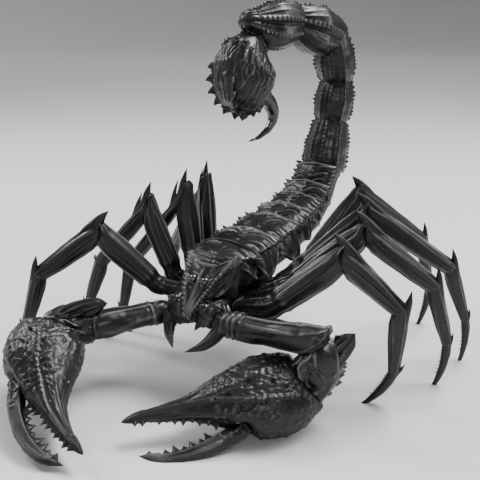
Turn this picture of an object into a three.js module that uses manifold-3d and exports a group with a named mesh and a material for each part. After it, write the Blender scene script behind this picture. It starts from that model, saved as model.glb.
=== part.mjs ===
// A black, heavy-clawed scorpion at life size, standing with its tail arched over its back.
// Millimetres. +Z is up from the floor at z = 0, -Y is the way the animal faces and +X is its left.
// Every plate and limb segment is one closed solid, parted from its neighbours by a thin gap.

import * as THREE from 'three';
import { mergeVertices } from 'three/addons/utils/BufferGeometryUtils.js';
import Module from 'manifold-3d';

const wasm = await Module();
wasm.setup();

// ---------------------------------------------------------------- driving dimensions

const GAP = 0.3;
const HALF_GAP = GAP / 2;
const LEFT = 1;
const RIGHT = -1;

// Trunk. The back's middle line starts at the rear edge of the carapace and climbs towards the tail.
const CARAPACE_REAR = new THREE.Vector3(0, -8, 44.3);
const CARAPACE_TIP = new THREE.Vector3(0, -22.5, 25.4);
const COXAE_TOP = 30.6;
const COXAE_REAR = 17;
const COXAE_HALF_WIDTH = 10;
const TERGITES = [
  { length: 9.0, pitch: 6, halfWidth: 11.0, depth: 13.0, flap: 1.0 },
  { length: 12.6, pitch: 6, halfWidth: 11.2, depth: 15.0, flap: 2.6 },
  { length: 13.2, pitch: 10, halfWidth: 11.0, depth: 15.5, flap: 2.8 },
  { length: 9.4, pitch: 13, halfWidth: 10.5, depth: 15.5, flap: 2.4 },
  { length: 8.8, pitch: 15, halfWidth: 10.0, depth: 15.0, flap: 1.8 },
  { length: 7.4, pitch: 33, halfWidth: 9.3, depth: 14.4, flap: 0.6 },
  { length: 8.4, pitch: 50, halfWidth: 8.3, depth: 13.6, flap: 0.0 },
];
const TAIL_BASE_DEPTH = 12.6;

// Tail. Pitch is measured from straight back, so 90 climbs and 180 runs forward over the back.
// Yaw turns the arch towards the animal's right.
const TAIL_SEGMENTS = [
  { length: 18.3, pitch: 75, yaw: 0, halfWidth: 7.0, halfHeight: 6.7 },
  { length: 16.0, pitch: 78, yaw: 0, halfWidth: 5.9, halfHeight: 5.9 },
  { length: 16.4, pitch: 107, yaw: 3, halfWidth: 5.9, halfHeight: 6.0 },
  { length: 20.8, pitch: 164, yaw: 14, halfWidth: 6.2, halfHeight: 7.0 },
  { length: 20.2, pitch: 188, yaw: 15, halfWidth: 6.0, halfHeight: 6.8 },
];
const TELSON_YAW = 15;

// Legs, front pair first. The hips and the femurs' roots are given, and the rest follows by angles.
const LEG_LENGTHS = [
  { femur: 28.0, patella: 24.5, tibia: 20.6, girth: 1.12 },
  { femur: 28.8, patella: 29.6, tibia: 20.6, girth: 1.08 },
  { femur: 29.0, patella: 37.0, tibia: 20.6, girth: 1.06 },
  { femur: 28.8, patella: 38.5, tibia: 21.6, girth: 1.06 },
];
// The left legs' patellas are drawn in a little, and the right ones' reach out.
const PATELLA_REACH = { left: 0.955, right: 1.045 };
const HIP_Y = [-8.4, -1.2, 6, 13];
const HIP_Z = 27.8;
const LEG_POSES = {
  left: [
    { root: [22.6, -8.0, 30.8], yaw: 28, femur: 39, patella: -42, tibia: -91, tarsus: -124 },
    { root: [23.0, 3.6, 34.9], yaw: 34, femur: 38, patella: -38, tibia: -73, tarsus: -99 },
    { root: [19.6, 14.6, 36.3], yaw: 40, femur: 41, patella: -34, tibia: -69, tarsus: -90 },
    { root: [17.6, 23.3, 37.3], yaw: 64, femur: 44, patella: -35, tibia: -73, tarsus: -104 },
  ],
  right: [
    { root: [21.1, -12.2, 28.8], yaw: -38, femur: 44, patella: -36, tibia: -71, tarsus: -102 },
    { root: [19.8, -4.6, 28.9], yaw: -15, femur: 67, patella: -50, tibia: -68, tarsus: -103 },
    { root: [18.0, 2.8, 31.0], yaw: -12, femur: 82, patella: -52, tibia: -77, tarsus: -106 },
    { root: [19.6, 12.9, 32.2], yaw: 23, femur: 84, patella: -49, tibia: -60, tarsus: -102 },
  ],
};

// Claw arms. Shoulder, elbow and wrist are the joints' centres. The spur stands at the elbow, through
// points that lie so far along the forearm and so far out to its own side.
const PEDIPALPS = {
  left: {
    shoulder: [13.5, -17.4, 25.8],
    elbow: [43.8, -13.2, 28.0],
    wrist: [40.6, -12.4, 11.3],
    spurSide: [0.78, 0.55, 0.05],
    spur: [[3.0, 3.0], [-0.4, 6.0], [-2.4, 9.4]],
    inward: 40.5,
    pitch: -3.4,
    roll: 32,
    curl: 2,
    gape: -4,
  },
  right: {
    shoulder: [-13.5, -18.6, 23.6],
    elbow: [-26.6, -37.2, 21.8],
    wrist: [-42.8, -45.1, 20.5],
    spurSide: [0.1, 0.1, 0.98],
    spur: [[4.5, 3.6], [1.0, 6.4], [-3.8, 7.6]],
    inward: 52.6,
    pitch: -17.2,
    roll: 12,
    curl: 34,
    gape: -13,
  },
};

// ---------------------------------------------------------------- vectors and planes

const vec = (x, y, z) => new THREE.Vector3(x, y, z);
const radians = THREE.MathUtils.degToRad;
const mix = THREE.MathUtils.lerp;
const between = (a, b, t) => a.clone().lerp(b, t);
const towards = (a, b) => b.clone().sub(a).normalize();
const offset = (point, ...moves) => {
  const moved = point.clone();
  for (const [direction, distance] of moves) moved.addScaledVector(direction, distance);
  return moved;
};

// The dorsal side of something that runs along one direction with another across it.
const dorsalOf = (along, across) => across.clone().cross(along).normalize();

// The plane in which two neighbouring segments meet, facing the way the second one runs.
function meetingPlane(point, before, after) {
  return { point: point.clone(), normal: before.clone().add(after).normalize() };
}

// A grown copy of a segment carves its neighbour. Its end stops just short of the far side of the gap.
const carvingFace = ({ point, normal }, grow) => ({ point: offset(point, [normal, grow * 0.9]), normal });

// Fits a ring of points to the face its body ends on. The body lies on one side of the face, ahead of
// its normal (1) or behind it (-1). An end ring slides to the face, by no more than the cap, and any
// point that is still past the face is pressed back to it.
const SLIDE_CAP = 3;

function fitToFace(ring, along, face, ahead, isEnd) {
  const depth = (p) => p.clone().sub(face.point).dot(face.normal) * ahead - HALF_GAP;
  return ring.map((p) => {
    let fitted = p;
    if (isEnd) {
      const slide = -depth(p) / (along.dot(face.normal) * ahead);
      fitted = offset(p, [along, THREE.MathUtils.clamp(slide, -SLIDE_CAP, SLIDE_CAP)]);
    }
    return offset(fitted, [face.normal, ahead * Math.max(0, -depth(fitted))]);
  });
}

// ---------------------------------------------------------------- solids

// Skins rings of equal count from first to last and closes both ends with fans.
function closedBody(rings) {
  const count = rings[0].length;
  const positions = [];
  const indices = [];
  const centre = (ring) => ring.reduce((sum, p) => sum.add(p), vec(0, 0, 0)).divideScalar(count);
  for (const ring of rings) for (const p of ring) positions.push(p.x, p.y, p.z);
  for (const ring of [rings[0], rings.at(-1)]) positions.push(...centre(ring).toArray());
  const start = rings.length * count;
  const last = start - count;
  for (let k = 0; k < count; k++) {
    const next = (k + 1) % count;
    for (let r = 0; r < rings.length - 1; r++) {
      const near = r * count;
      const far = near + count;
      indices.push(near + k, near + next, far + next, near + k, far + next, far + k);
    }
    indices.push(start, next, k, start + 1, last + k, last + next);
  }
  return faceOutward(positions, indices);
}

// Builds the geometry and turns every face over where the skin came out inside out.
function faceOutward(positions, indices) {
  let volume = 0;
  const corner = (i) => vec(...positions.slice(3 * i, 3 * i + 3));
  for (let t = 0; t < indices.length; t += 3) {
    const [a, b, c] = [corner(indices[t]), corner(indices[t + 1]), corner(indices[t + 2])];
    volume += a.dot(b.cross(c));
  }
  if (volume < 0) indices.reverse();
  const geometry = new THREE.BufferGeometry();
  geometry.setAttribute('position', new THREE.Float32BufferAttribute(positions, 3));
  geometry.setIndex(indices);
  return geometry;
}

function toManifold(geometry) {
  const bare = geometry.clone();
  bare.deleteAttribute('normal');
  bare.deleteAttribute('uv');
  const merged = mergeVertices(bare, 1e-4);
  return new wasm.Manifold(new wasm.Mesh({
    numProp: 3,
    vertProperties: new Float32Array(merged.attributes.position.array),
    triVerts: new Uint32Array(merged.index.array),
  }));
}

function fromManifold(solid) {
  const mesh = solid.getMesh();
  const geometry = new THREE.BufferGeometry();
  geometry.setAttribute('position', new THREE.Float32BufferAttribute(mesh.vertProperties, 3));
  geometry.setIndex([...mesh.triVerts]);
  return geometry;
}

// One solid of a main piece with others joined to it and others cut away.
function shaped(main, joined, removed = []) {
  let solid = toManifold(main);
  for (const piece of joined) solid = solid.add(toManifold(piece));
  for (const piece of removed) solid = solid.subtract(toManifold(piece));
  return fromManifold(solid);
}

// A ring of points round a centre. The outline holds [across, dorsal] pairs.
function ringAt(centre, along, across, outline) {
  const dorsal = dorsalOf(along, across);
  return outline.map(([a, d]) => offset(centre, [across, a], [dorsal, d]));
}

// A closed outline between an ellipse and a box, with every second corner raised as a keel.
function keeledOutline(sides, halfWidth, halfHeight, keel = 0, squareness = 0.82) {
  const outline = [];
  for (let k = 0; k < sides; k++) {
    const turn = (2 * Math.PI * (k + 0.5)) / sides;
    const c = Math.cos(turn);
    const s = Math.sin(turn);
    const lift = 1 + (k % 2 ? keel : 0);
    const across = halfWidth * Math.sign(c) * Math.abs(c) ** squareness * lift;
    const dorsal = halfHeight * Math.sign(s) * Math.abs(s) ** squareness * lift;
    outline.push([across, dorsal]);
  }
  return outline;
}

// A tapering body through centres with the given half sizes. Its ends may lie in given planes.
function tapered({ centres, halfWidths, halfHeights, across, sides = 8, keel = 0, startFace, endFace }) {
  const last = centres.length - 1;
  const rings = centres.map((centre, i) => {
    const along = towards(centres[Math.max(i - 1, 0)], centres[Math.min(i + 1, last)]);
    const level = offset(across, [along, -across.dot(along)]).normalize();
    const outline = keeledOutline(sides, halfWidths[i], halfHeights[i], keel);
    let ring = ringAt(centre, along, level, outline);
    if (startFace) ring = fitToFace(ring, along, startFace, 1, i === 0);
    if (endFace) ring = fitToFace(ring, along, endFace, -1, i === last);
    return ring;
  });
  return closedBody(rings);
}

// A curved horn through a few points, from its root's radius to a fine tip.
function horn(points, rootRadius, { sides = 6, steps = 3, tipRadius = 0.28, across = vec(0, 0, 1) } = {}) {
  const curve = new THREE.CatmullRomCurve3(points);
  const centres = [];
  const radii = [];
  for (let i = 0; i <= steps; i++) {
    const t = i / steps;
    centres.push(curve.getPoint(t));
    radii.push(mix(rootRadius, tipRadius, t ** 1.15));
  }
  return tapered({ centres, halfWidths: radii, halfHeights: radii, across, sides });
}

// A short straight thorn.
function thorn(root, tip, radius, sides = 5) {
  const along = towards(root, tip);
  const side = Math.abs(along.z) > 0.8 ? vec(1, 0, 0) : vec(0, 0, 1);
  const across = offset(side, [along, -side.dot(along)]).normalize();
  const base = ringAt(root, along, across, keeledOutline(sides, radius, radius, 0, 1));
  const point = ringAt(tip, along, across, keeledOutline(sides, 0.12, 0.12, 0, 1));
  return closedBody([base, point]);
}

// ---------------------------------------------------------------- carapace, eyes and jaws

const BLACK = { color: 0x17181a, roughness: 0.34 };
const BROWN_BLACK = { color: 0x221c19, roughness: 0.3 };
const EYE_BLACK = { color: 0x050506, roughness: 0.08 };

const model = new THREE.Group();

function addPiece(name, geometry, finish = BLACK) {
  const material = new THREE.MeshStandardMaterial({ ...finish, metalness: 0 });
  const mesh = new THREE.Mesh(geometry, material);
  mesh.name = name;
  model.add(mesh);
  return geometry;
}

// Mirrors a half outline of [across, height] pairs that starts and ends on the middle line.
function mirrored(half) {
  const inner = half.slice(1, -1).map(([a, h]) => [-a, h]).reverse();
  return [...half, ...inner];
}

// The head's cross section at one station: ridge, furrow, beaded crest, edge, cheek and belly.
function headSection({ y, ridge, crest, crestHalf, edgeHalf, edge, belly, bellyHalf }) {
  const half = [
    [0, ridge],
    [crestHalf * 0.45, ridge - 0.9],
    [crestHalf, crest],
    [edgeHalf, edge],
    [mix(edgeHalf, bellyHalf, 0.35) * 0.94, mix(edge, belly, 0.4)],
    [bellyHalf, mix(edge, belly, 0.78)],
    [bellyHalf * 0.62, belly],
    [0, belly - 0.2],
  ];
  return mirrored(half).map(([a, h]) => vec(a, y, h));
}

// The low block of leg roots under the trunk, behind the head.
function coxalSection(y, halfWidth, floor) {
  return headSection({
    y,
    ridge: COXAE_TOP - GAP,
    crest: COXAE_TOP - GAP,
    crestHalf: halfWidth * 0.55,
    edgeHalf: halfWidth,
    edge: COXAE_TOP - 0.8,
    belly: floor,
    bellyHalf: halfWidth * 0.8,
  });
}

function makeProsoma() {
  const tip = CARAPACE_TIP;
  const rear = CARAPACE_REAR;
  const stations = [
    { back: 0, rise: 0, crestHalf: 0.5, edgeHalf: 0.8, belly: -0.7 },
    { back: 1.8, rise: 3.8, crestHalf: 2.0, edgeHalf: 3.0, belly: 1.0 },
    { back: 4.6, rise: 8.4, crestHalf: 3.9, edgeHalf: 5.6, belly: 2.4 },
    { back: 7.4, rise: 12.5, crestHalf: 5.9, edgeHalf: 8.1, belly: 2.4 },
    { back: 10.6, rise: 15.9, crestHalf: 7.7, edgeHalf: 9.8, belly: -0.4 },
    { back: rear.y - tip.y - HALF_GAP, rise: rear.z - tip.z, crestHalf: 9.4, edgeHalf: 10.8, belly: -1.2 },
  ];
  const sections = stations.map(({ back, rise, crestHalf, edgeHalf, belly }) => {
    const ridge = tip.z + rise;
    const share = back / (rear.y - tip.y);
    return headSection({
      y: tip.y + back,
      ridge,
      crest: ridge + 0.5 * share,
      crestHalf,
      edgeHalf,
      edge: ridge - mix(0.5, 3.6, share),
      belly: tip.z + belly,
      bellyHalf: mix(0.6, COXAE_HALF_WIDTH, share ** 0.8),
    });
  });
  const floor = tip.z - 1.2;
  sections.push(coxalSection(rear.y + 0.2, COXAE_HALF_WIDTH, floor));
  sections.push(coxalSection(mix(rear.y, COXAE_REAR, 0.6), COXAE_HALF_WIDTH, floor + 0.3));
  sections.push(coxalSection(COXAE_REAR - 2.5, COXAE_HALF_WIDTH - 1.5, floor + 1.2));
  sections.push(coxalSection(COXAE_REAR, COXAE_HALF_WIDTH - 4.5, floor + 2.6));
  return closedBody(sections);
}

const EYE_RADIUS = 1.35;
const EYE_CENTRE = vec(2.5, -15.6, 37.3);

function eyeball(side, radius) {
  const ball = new THREE.SphereGeometry(radius, 8, 6);
  return ball.translate(side * EYE_CENTRE.x, EYE_CENTRE.y, EYE_CENTRE.z);
}

// The left jaw: the middle lines of its swollen hand, its long fang and its short fixed finger.
const JAW_HAND = [
  [6.2, -10.6, 29.6],
  [6.3, -13.2, 29.0],
  [6.4, -17.0, 28.2],
  [6.4, -20.0, 27.2],
  [6.0, -21.6, 26.4],
];
const JAW_FANG = [[8.3, -15.2, 27.2], [9.4, -18.2, 22.6], [7.4, -22.6, 18.6], [2.6, -26.2, 16.9]];
const JAW_SHORT_FINGER = [[4.4, -18.5, 26], [4.0, -21.6, 22.8], [2.9, -23.8, 20.4]];
const JAW_HALF_WIDTHS = [2.2, 3.6, 4.0, 3.1, 1.4];

// One jaw: a swollen hand under the carapace's edge and a curved fang that points down and in.
function jaw(side, grow = 0) {
  const onSide = (points) => points.map(([x, y, z]) => vec(side * x, y, z));
  const hand = tapered({
    centres: onSide(JAW_HAND),
    halfWidths: JAW_HALF_WIDTHS.map((size) => size + grow),
    halfHeights: JAW_HALF_WIDTHS.map((size) => size * 1.08 + grow),
    across: vec(1, 0, 0),
    sides: 10,
  });
  const fang = horn(onSide(JAW_FANG), 2.3 + grow, { sides: 6, steps: 5, tipRadius: 0.3 + grow });
  const shortFinger = horn(onSide(JAW_SHORT_FINGER), 1.9 + grow, { sides: 5, steps: 2 });
  return shaped(hand, [fang, shortFinger]);
}

function addHead() {
  const eyeSockets = [eyeball(LEFT, EYE_RADIUS + HALF_GAP), eyeball(RIGHT, EYE_RADIUS + HALF_GAP)];
  const jawRooms = [jaw(LEFT, GAP), jaw(RIGHT, GAP)];
  addPiece('prosoma', shaped(makeProsoma(), [], [...eyeSockets, ...jawRooms]));
  addPiece('eye_left', eyeball(LEFT, EYE_RADIUS), EYE_BLACK);
  addPiece('eye_right', eyeball(RIGHT, EYE_RADIUS), EYE_BLACK);
  addPiece('chelicera_left', jaw(LEFT), BROWN_BLACK);
  addPiece('chelicera_right', jaw(RIGHT), BROWN_BLACK);
}

// ---------------------------------------------------------------- trunk

const TOOTH_STEPS = 5;
const TOOTH_DEPTH = 0.8;

// The trunk's section, as [across, dorsal] pairs hung from the back's middle line.
function trunkOutline(halfWidth, depth, tooth, flap) {
  return mirrored([
    [0, 0],
    [halfWidth * 0.36, -0.35],
    [halfWidth * 0.72, -0.8],
    [halfWidth + tooth, -2.2],
    [halfWidth * 0.87, -3.6],
    [halfWidth * 0.84 + flap, -depth * 0.56],
    [halfWidth * 0.66, -depth * 0.9],
    [0, -depth],
  ]);
}

const pitched = (pitch, yaw = 0) => vec(
  Math.sin(radians(yaw)) * Math.cos(radians(pitch)),
  Math.cos(radians(yaw)) * Math.cos(radians(pitch)),
  Math.sin(radians(pitch)),
);

// The joints' centres and directions of a chain of segments.
function chain(start, segments) {
  const joints = [start.clone()];
  const directions = segments.map(({ pitch, yaw }) => pitched(pitch, yaw));
  segments.forEach(({ length }, i) => joints.push(offset(joints[i], [directions[i], length])));
  return { joints, directions };
}

const trunk = chain(CARAPACE_REAR, TERGITES);

function addTrunk() {
  const across = vec(1, 0, 0);
  const tailAhead = pitched(TAIL_SEGMENTS[0].pitch);
  TERGITES.forEach((plate, i) => {
    const along = trunk.directions[i];
    const before = trunk.directions[i - 1] ?? along;
    const after = trunk.directions[i + 1] ?? tailAhead;
    const startFace = meetingPlane(trunk.joints[i], before, along);
    const endFace = meetingPlane(trunk.joints[i + 1], along, after);
    const next = TERGITES[i + 1] ?? { halfWidth: 7.2, depth: TAIL_BASE_DEPTH };
    const rings = [];
    for (let step = 0; step <= TOOTH_STEPS; step++) {
      const t = step / TOOTH_STEPS;
      const centre = between(trunk.joints[i], trunk.joints[i + 1], t);
      const halfWidth = mix(plate.halfWidth, next.halfWidth, t) * (0.965 + 0.06 * t);
      const tooth = step % 2 ? TOOTH_DEPTH : 0;
      const flap = plate.flap * Math.sin(Math.PI * t) ** 2;
      const outline = trunkOutline(halfWidth, mix(plate.depth, next.depth, t), tooth, flap);
      const lifted = outline.map(([a, d]) => [a, d + 0.7 * Math.sin(Math.PI * t) * (d > -3)]);
      let ring = ringAt(centre, along, across, lifted);
      ring = fitToFace(ring, along, startFace, 1, step === 0);
      rings.push(fitToFace(ring, along, endFace, -1, step === TOOTH_STEPS));
    }
    addPiece(`mesosoma_${i + 1}`, closedBody(rings));
  });
}

// The two combs under the belly, joined by their middle plate.
function addPectines() {
  const combs = [];
  const top = COXAE_TOP - 3.2;
  for (const side of [LEFT, RIGHT]) {
    const root = vec(0, COXAE_REAR + 1.6, top);
    const mid = vec(side * 5.5, COXAE_REAR + 3.4, top - 0.6);
    const tip = vec(side * 11, COXAE_REAR + 8.5, top - 1.2);
    combs.push(tapered({
      centres: [root, mid, tip],
      halfWidths: [1.5, 1.7, 0.8],
      halfHeights: [0.9, 0.8, 0.45],
      across: vec(0, 1, 0),
    }));
  }
  const plate = new THREE.BoxGeometry(4.4, 2.6, 2.2).translate(0, COXAE_REAR + 1.9, top);
  addPiece('pectines', shaped(plate, combs), BROWN_BLACK);
}

// ---------------------------------------------------------------- tail

const TAIL_STEPS = 6;

function tailStart() {
  const face = meetingPlane(trunk.joints.at(-1), trunk.directions.at(-1), pitched(TAIL_SEGMENTS[0].pitch));
  return offset(face.point, [dorsalOf(face.normal, vec(1, 0, 0)), -TAIL_BASE_DEPTH / 2]);
}

const tail = chain(tailStart(), TAIL_SEGMENTS);

// A barrel shape along each tail segment: a waist at both joints.
const barrel = (t) => 0.86 + 0.17 * Math.sin(Math.PI * t) ** 0.7;

function addTail() {
  TAIL_SEGMENTS.forEach((segment, i) => {
    const along = tail.directions[i];
    const before = tail.directions[i - 1] ?? trunk.directions.at(-1);
    const after = tail.directions[i + 1] ?? pitched(235, TELSON_YAW);
    const across = vec(Math.cos(radians(segment.yaw)), -Math.sin(radians(segment.yaw)), 0);
    const startFace = meetingPlane(tail.joints[i], before, along);
    const endFace = meetingPlane(tail.joints[i + 1], along, after);
    const rings = [];
    for (let step = 0; step <= TAIL_STEPS; step++) {
      const t = step / TAIL_STEPS;
      const keel = step % 2 ? 0.11 : 0.04;
      const swell = i === 0 ? mix(1.12, 0.88, t) : barrel(t);
      const outline = keeledOutline(14, segment.halfWidth * swell, segment.halfHeight * swell, keel, 0.8);
      let ring = ringAt(between(tail.joints[i], tail.joints[i + 1], t), along, across, outline);
      ring = fitToFace(ring, along, startFace, 1, step === 0);
      rings.push(fitToFace(ring, along, endFace, -1, step === TAIL_STEPS));
    }
    addPiece(`metasoma_${i + 1}`, closedBody(rings));
  });
}

// The telson hangs from the tail's end. Places in it are [forward, up] from that joint.
const telsonForward = pitched(180, TELSON_YAW);
const telsonAcross = vec(Math.cos(radians(TELSON_YAW)), -Math.sin(radians(TELSON_YAW)), 0);
const inTelson = (forward, up) => offset(tail.joints.at(-1), [telsonForward, forward], [vec(0, 0, 1), up]);

const VESICLE = [
  { forward: -1.0, up: -4.8, radius: 5.0 },
  { forward: 1.6, up: -7.2, radius: 8.2 },
  { forward: 3.0, up: -11.0, radius: 10.2 },
  { forward: 3.2, up: -15.4, radius: 10.7 },
  { forward: 2.4, up: -19.8, radius: 9.8 },
  { forward: 1.0, up: -23.4, radius: 7.7 },
  { forward: -0.6, up: -26.0, radius: 4.9 },
];
const VESICLE_THORNS = 9;

function stingHorn(grow = 0) {
  const path = [[-2.6, -21.0], [-8.0, -24.6], [-10.8, -29.6], [-7.6, -34.6], [1.0, -37.6]];
  const points = path.map(([f, u]) => inTelson(f, u));
  return horn(points, 3.4 + grow, { sides: 8, steps: 7, tipRadius: 0.3 + grow, across: telsonAcross });
}

function addTelson() {
  const bulb = tapered({
    centres: VESICLE.map(({ forward, up }) => inTelson(forward, up)),
    halfWidths: VESICLE.map(({ radius }) => radius * 0.92),
    halfHeights: VESICLE.map(({ radius }) => radius),
    across: telsonAcross,
    sides: 12,
    keel: 0.03,
    startFace: meetingPlane(inTelson(0, 0), tail.directions.at(-1), pitched(235, TELSON_YAW)),
  });
  const thorns = [];
  const hub = inTelson(2.2, -15.6);
  for (let k = 0; k < 2 * VESICLE_THORNS; k++) {
    const row = k % 2 ? 1 : -1;
    const turn = radians(mix(74, -74, Math.floor(k / 2) / (VESICLE_THORNS - 1)));
    const spread = radians(32) * row;
    const out = offset(vec(0, 0, 0),
      [telsonForward, Math.cos(turn) * Math.cos(spread)],
      [telsonAcross, Math.cos(turn) * Math.sin(spread)],
      [vec(0, 0, 1), Math.sin(turn)]);
    const tip = offset(hub, [out, 14.0], [vec(0, 0, 1), -0.8]);
    thorns.push(thorn(offset(hub, [out, 8.6]), tip, 1.4, 3));
  }
  addPiece('telson_vesicle', shaped(bulb, thorns, [stingHorn(GAP)]));
  addPiece('telson_sting', stingHorn(), BROWN_BLACK);
}

// ---------------------------------------------------------------- claw arms

const HAND = [
  { x: 0.0, width: 4.6, height: 4.4, shift: 0 },
  { x: 2.6, width: 8.4, height: 6.6, shift: 0 },
  { x: 6.5, width: 11.4, height: 8.4, shift: 0 },
  { x: 12.0, width: 12.8, height: 9.1, shift: 0 },
  { x: 18.0, width: 12.5, height: 9.0, shift: 0 },
  { x: 23.5, width: 10.3, height: 7.8, shift: -0.1 },
  { x: 28.0, width: 7.7, height: 6.2, shift: -0.6 },
  { x: 32.5, width: 5.5, height: 4.8, shift: -0.6 },
  { x: 37.0, width: 3.8, height: 3.7, shift: -0.2 },
  { x: 44.5, width: 2.5, height: 2.6, shift: 0 },
  { x: 54.0, width: 1.0, height: 1.1, shift: 0.2 },
  { x: 56.5, width: 0.35, height: 0.4, shift: 0.6 },
];
const CURL_START = 22;
const CURL_SPAN = 34;
const FINGER_TEETH = 5;
const TOOTH_REACH = 1.3;
const TOOTH_LEAN = 0.7;
const TOOTH_RADIUS = 1.0;

// The way the hand points: inward from straight ahead, and pitched up or down.
function handAim(arm, side) {
  const [turn, pitch] = [radians(arm.inward), radians(arm.pitch)];
  return vec(-side * Math.sin(turn) * Math.cos(pitch), -Math.cos(turn) * Math.cos(pitch), Math.sin(pitch));
}

// A place in the hand: x from wrist to fingertips, y to the movable finger's side, z to the hand's back.
// Past CURL_START the fingers bend to the inner side, along an arc.
function inHand(arm, side, x, y, z) {
  const aim = handAim(arm, side);
  const outer = vec(-aim.y, aim.x, 0).normalize().multiplyScalar(side);
  const back = outer.clone().cross(aim).multiplyScalar(-side);
  const tilt = radians(arm.roll);
  const sideways = offset(vec(0, 0, 0), [outer, Math.cos(tilt)], [back, -Math.sin(tilt)]);
  const upward = offset(vec(0, 0, 0), [outer, Math.sin(tilt)], [back, Math.cos(tilt)]);
  const bend = radians(arm.curl) * Math.max(0, x - CURL_START) / CURL_SPAN;
  const radius = CURL_SPAN / radians(arm.curl);
  const forward = bend > 0 ? CURL_START + (radius + y) * Math.sin(bend) : x;
  const lateral = bend > 0 ? y * Math.cos(bend) - radius * (1 - Math.cos(bend)) : y;
  return offset(vec(...arm.wrist), [aim, forward], [sideways, lateral], [upward, z]);
}

// Presses what would reach under the floor to a small flat on it.
function onFloor(geometry) {
  const place = geometry.attributes.position;
  for (let i = 0; i < place.count; i++) place.setZ(i, Math.max(place.getZ(i), 0));
  return geometry;
}

function handBody(arm, side, wristFace) {
  return closedBody(HAND.map(({ x, width, height, shift }, i) => {
    const outline = keeledOutline(12, width, height, 0.03, 0.95);
    const ring = outline.map(([a, d]) => inHand(arm, side, x, shift + a, d));
    return i > 0 ? ring : fitToFace(ring, handAim(arm, side), wristFace, 1, true);
  }));
}

// The movable finger's middle line at no gape. It opens and closes about its root.
const MOVABLE_FINGER = [
  [22, 7.6, -0.6],
  [30, 11.7, -1.2],
  [39, 14.2, -2.0],
  [47, 14.1, -2.8],
  [52.5, 12.2, -3.4],
];
const movableRadius = (t) => mix(2.8, 0.4, t ** 1.35);

function movableCurve(arm) {
  const [hinge] = MOVABLE_FINGER;
  const [c, s] = [Math.cos(radians(arm.gape)), Math.sin(radians(arm.gape))];
  return new THREE.CatmullRomCurve3(MOVABLE_FINGER.map(([x, y, z]) => {
    const [along, aside] = [x - hinge[0], y - hinge[1]];
    return vec(hinge[0] + along * c - aside * s, hinge[1] + along * s + aside * c, z);
  }));
}

function movableFinger(arm, side, grow = 0) {
  const rings = [];
  const steps = 7;
  const curve = movableCurve(arm);
  for (let i = 0; i <= steps; i++) {
    const t = i / steps;
    const { x, y, z } = curve.getPoint(t);
    const radius = movableRadius(t) + grow;
    const outline = keeledOutline(8, radius, radius * 0.95, 0, 0.9);
    rings.push(outline.map(([a, d]) => inHand(arm, side, x, y + a, z + d)));
  }
  return closedBody(rings);
}

// The hand's half width and its middle's sideways shift at a distance from the wrist.
function handAt(x) {
  const i = HAND.findIndex((station) => station.x > x);
  const [a, b] = [HAND[i - 1], HAND[i]];
  const t = (x - a.x) / (b.x - a.x);
  return { width: mix(a.width, b.width, t), shift: mix(a.shift, b.shift, t) };
}

// How far a tooth stands out of its finger. Large and small ones take turns.
const toothReach = (k) => TOOTH_REACH * (k % 2 ? 0.7 : 1);

// Teeth along the facing edges of the two fingers. Each one leans a little towards the tip.
function fixedTeeth(arm, side) {
  return Array.from({ length: FINGER_TEETH }, (_, k) => {
    const x = mix(35, 54.5, (k + 0.5) / FINGER_TEETH);
    const { width, shift } = handAt(x);
    const root = inHand(arm, side, x, shift + width * 0.5, 0);
    const tip = inHand(arm, side, x + TOOTH_LEAN, shift + width + toothReach(k), 0);
    return thorn(root, tip, TOOTH_RADIUS, 3);
  });
}

function movableTeeth(arm, side) {
  const curve = movableCurve(arm);
  return Array.from({ length: FINGER_TEETH }, (_, k) => {
    const t = mix(0.34, 0.92, (k + 0.5) / FINGER_TEETH);
    const { x, y, z } = curve.getPoint(t);
    const radius = movableRadius(t);
    const root = inHand(arm, side, x, y - radius * 0.5, z);
    const tip = inHand(arm, side, x + TOOTH_LEAN, y - radius - toothReach(k), z);
    return thorn(root, tip, TOOTH_RADIUS, 3);
  });
}

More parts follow.
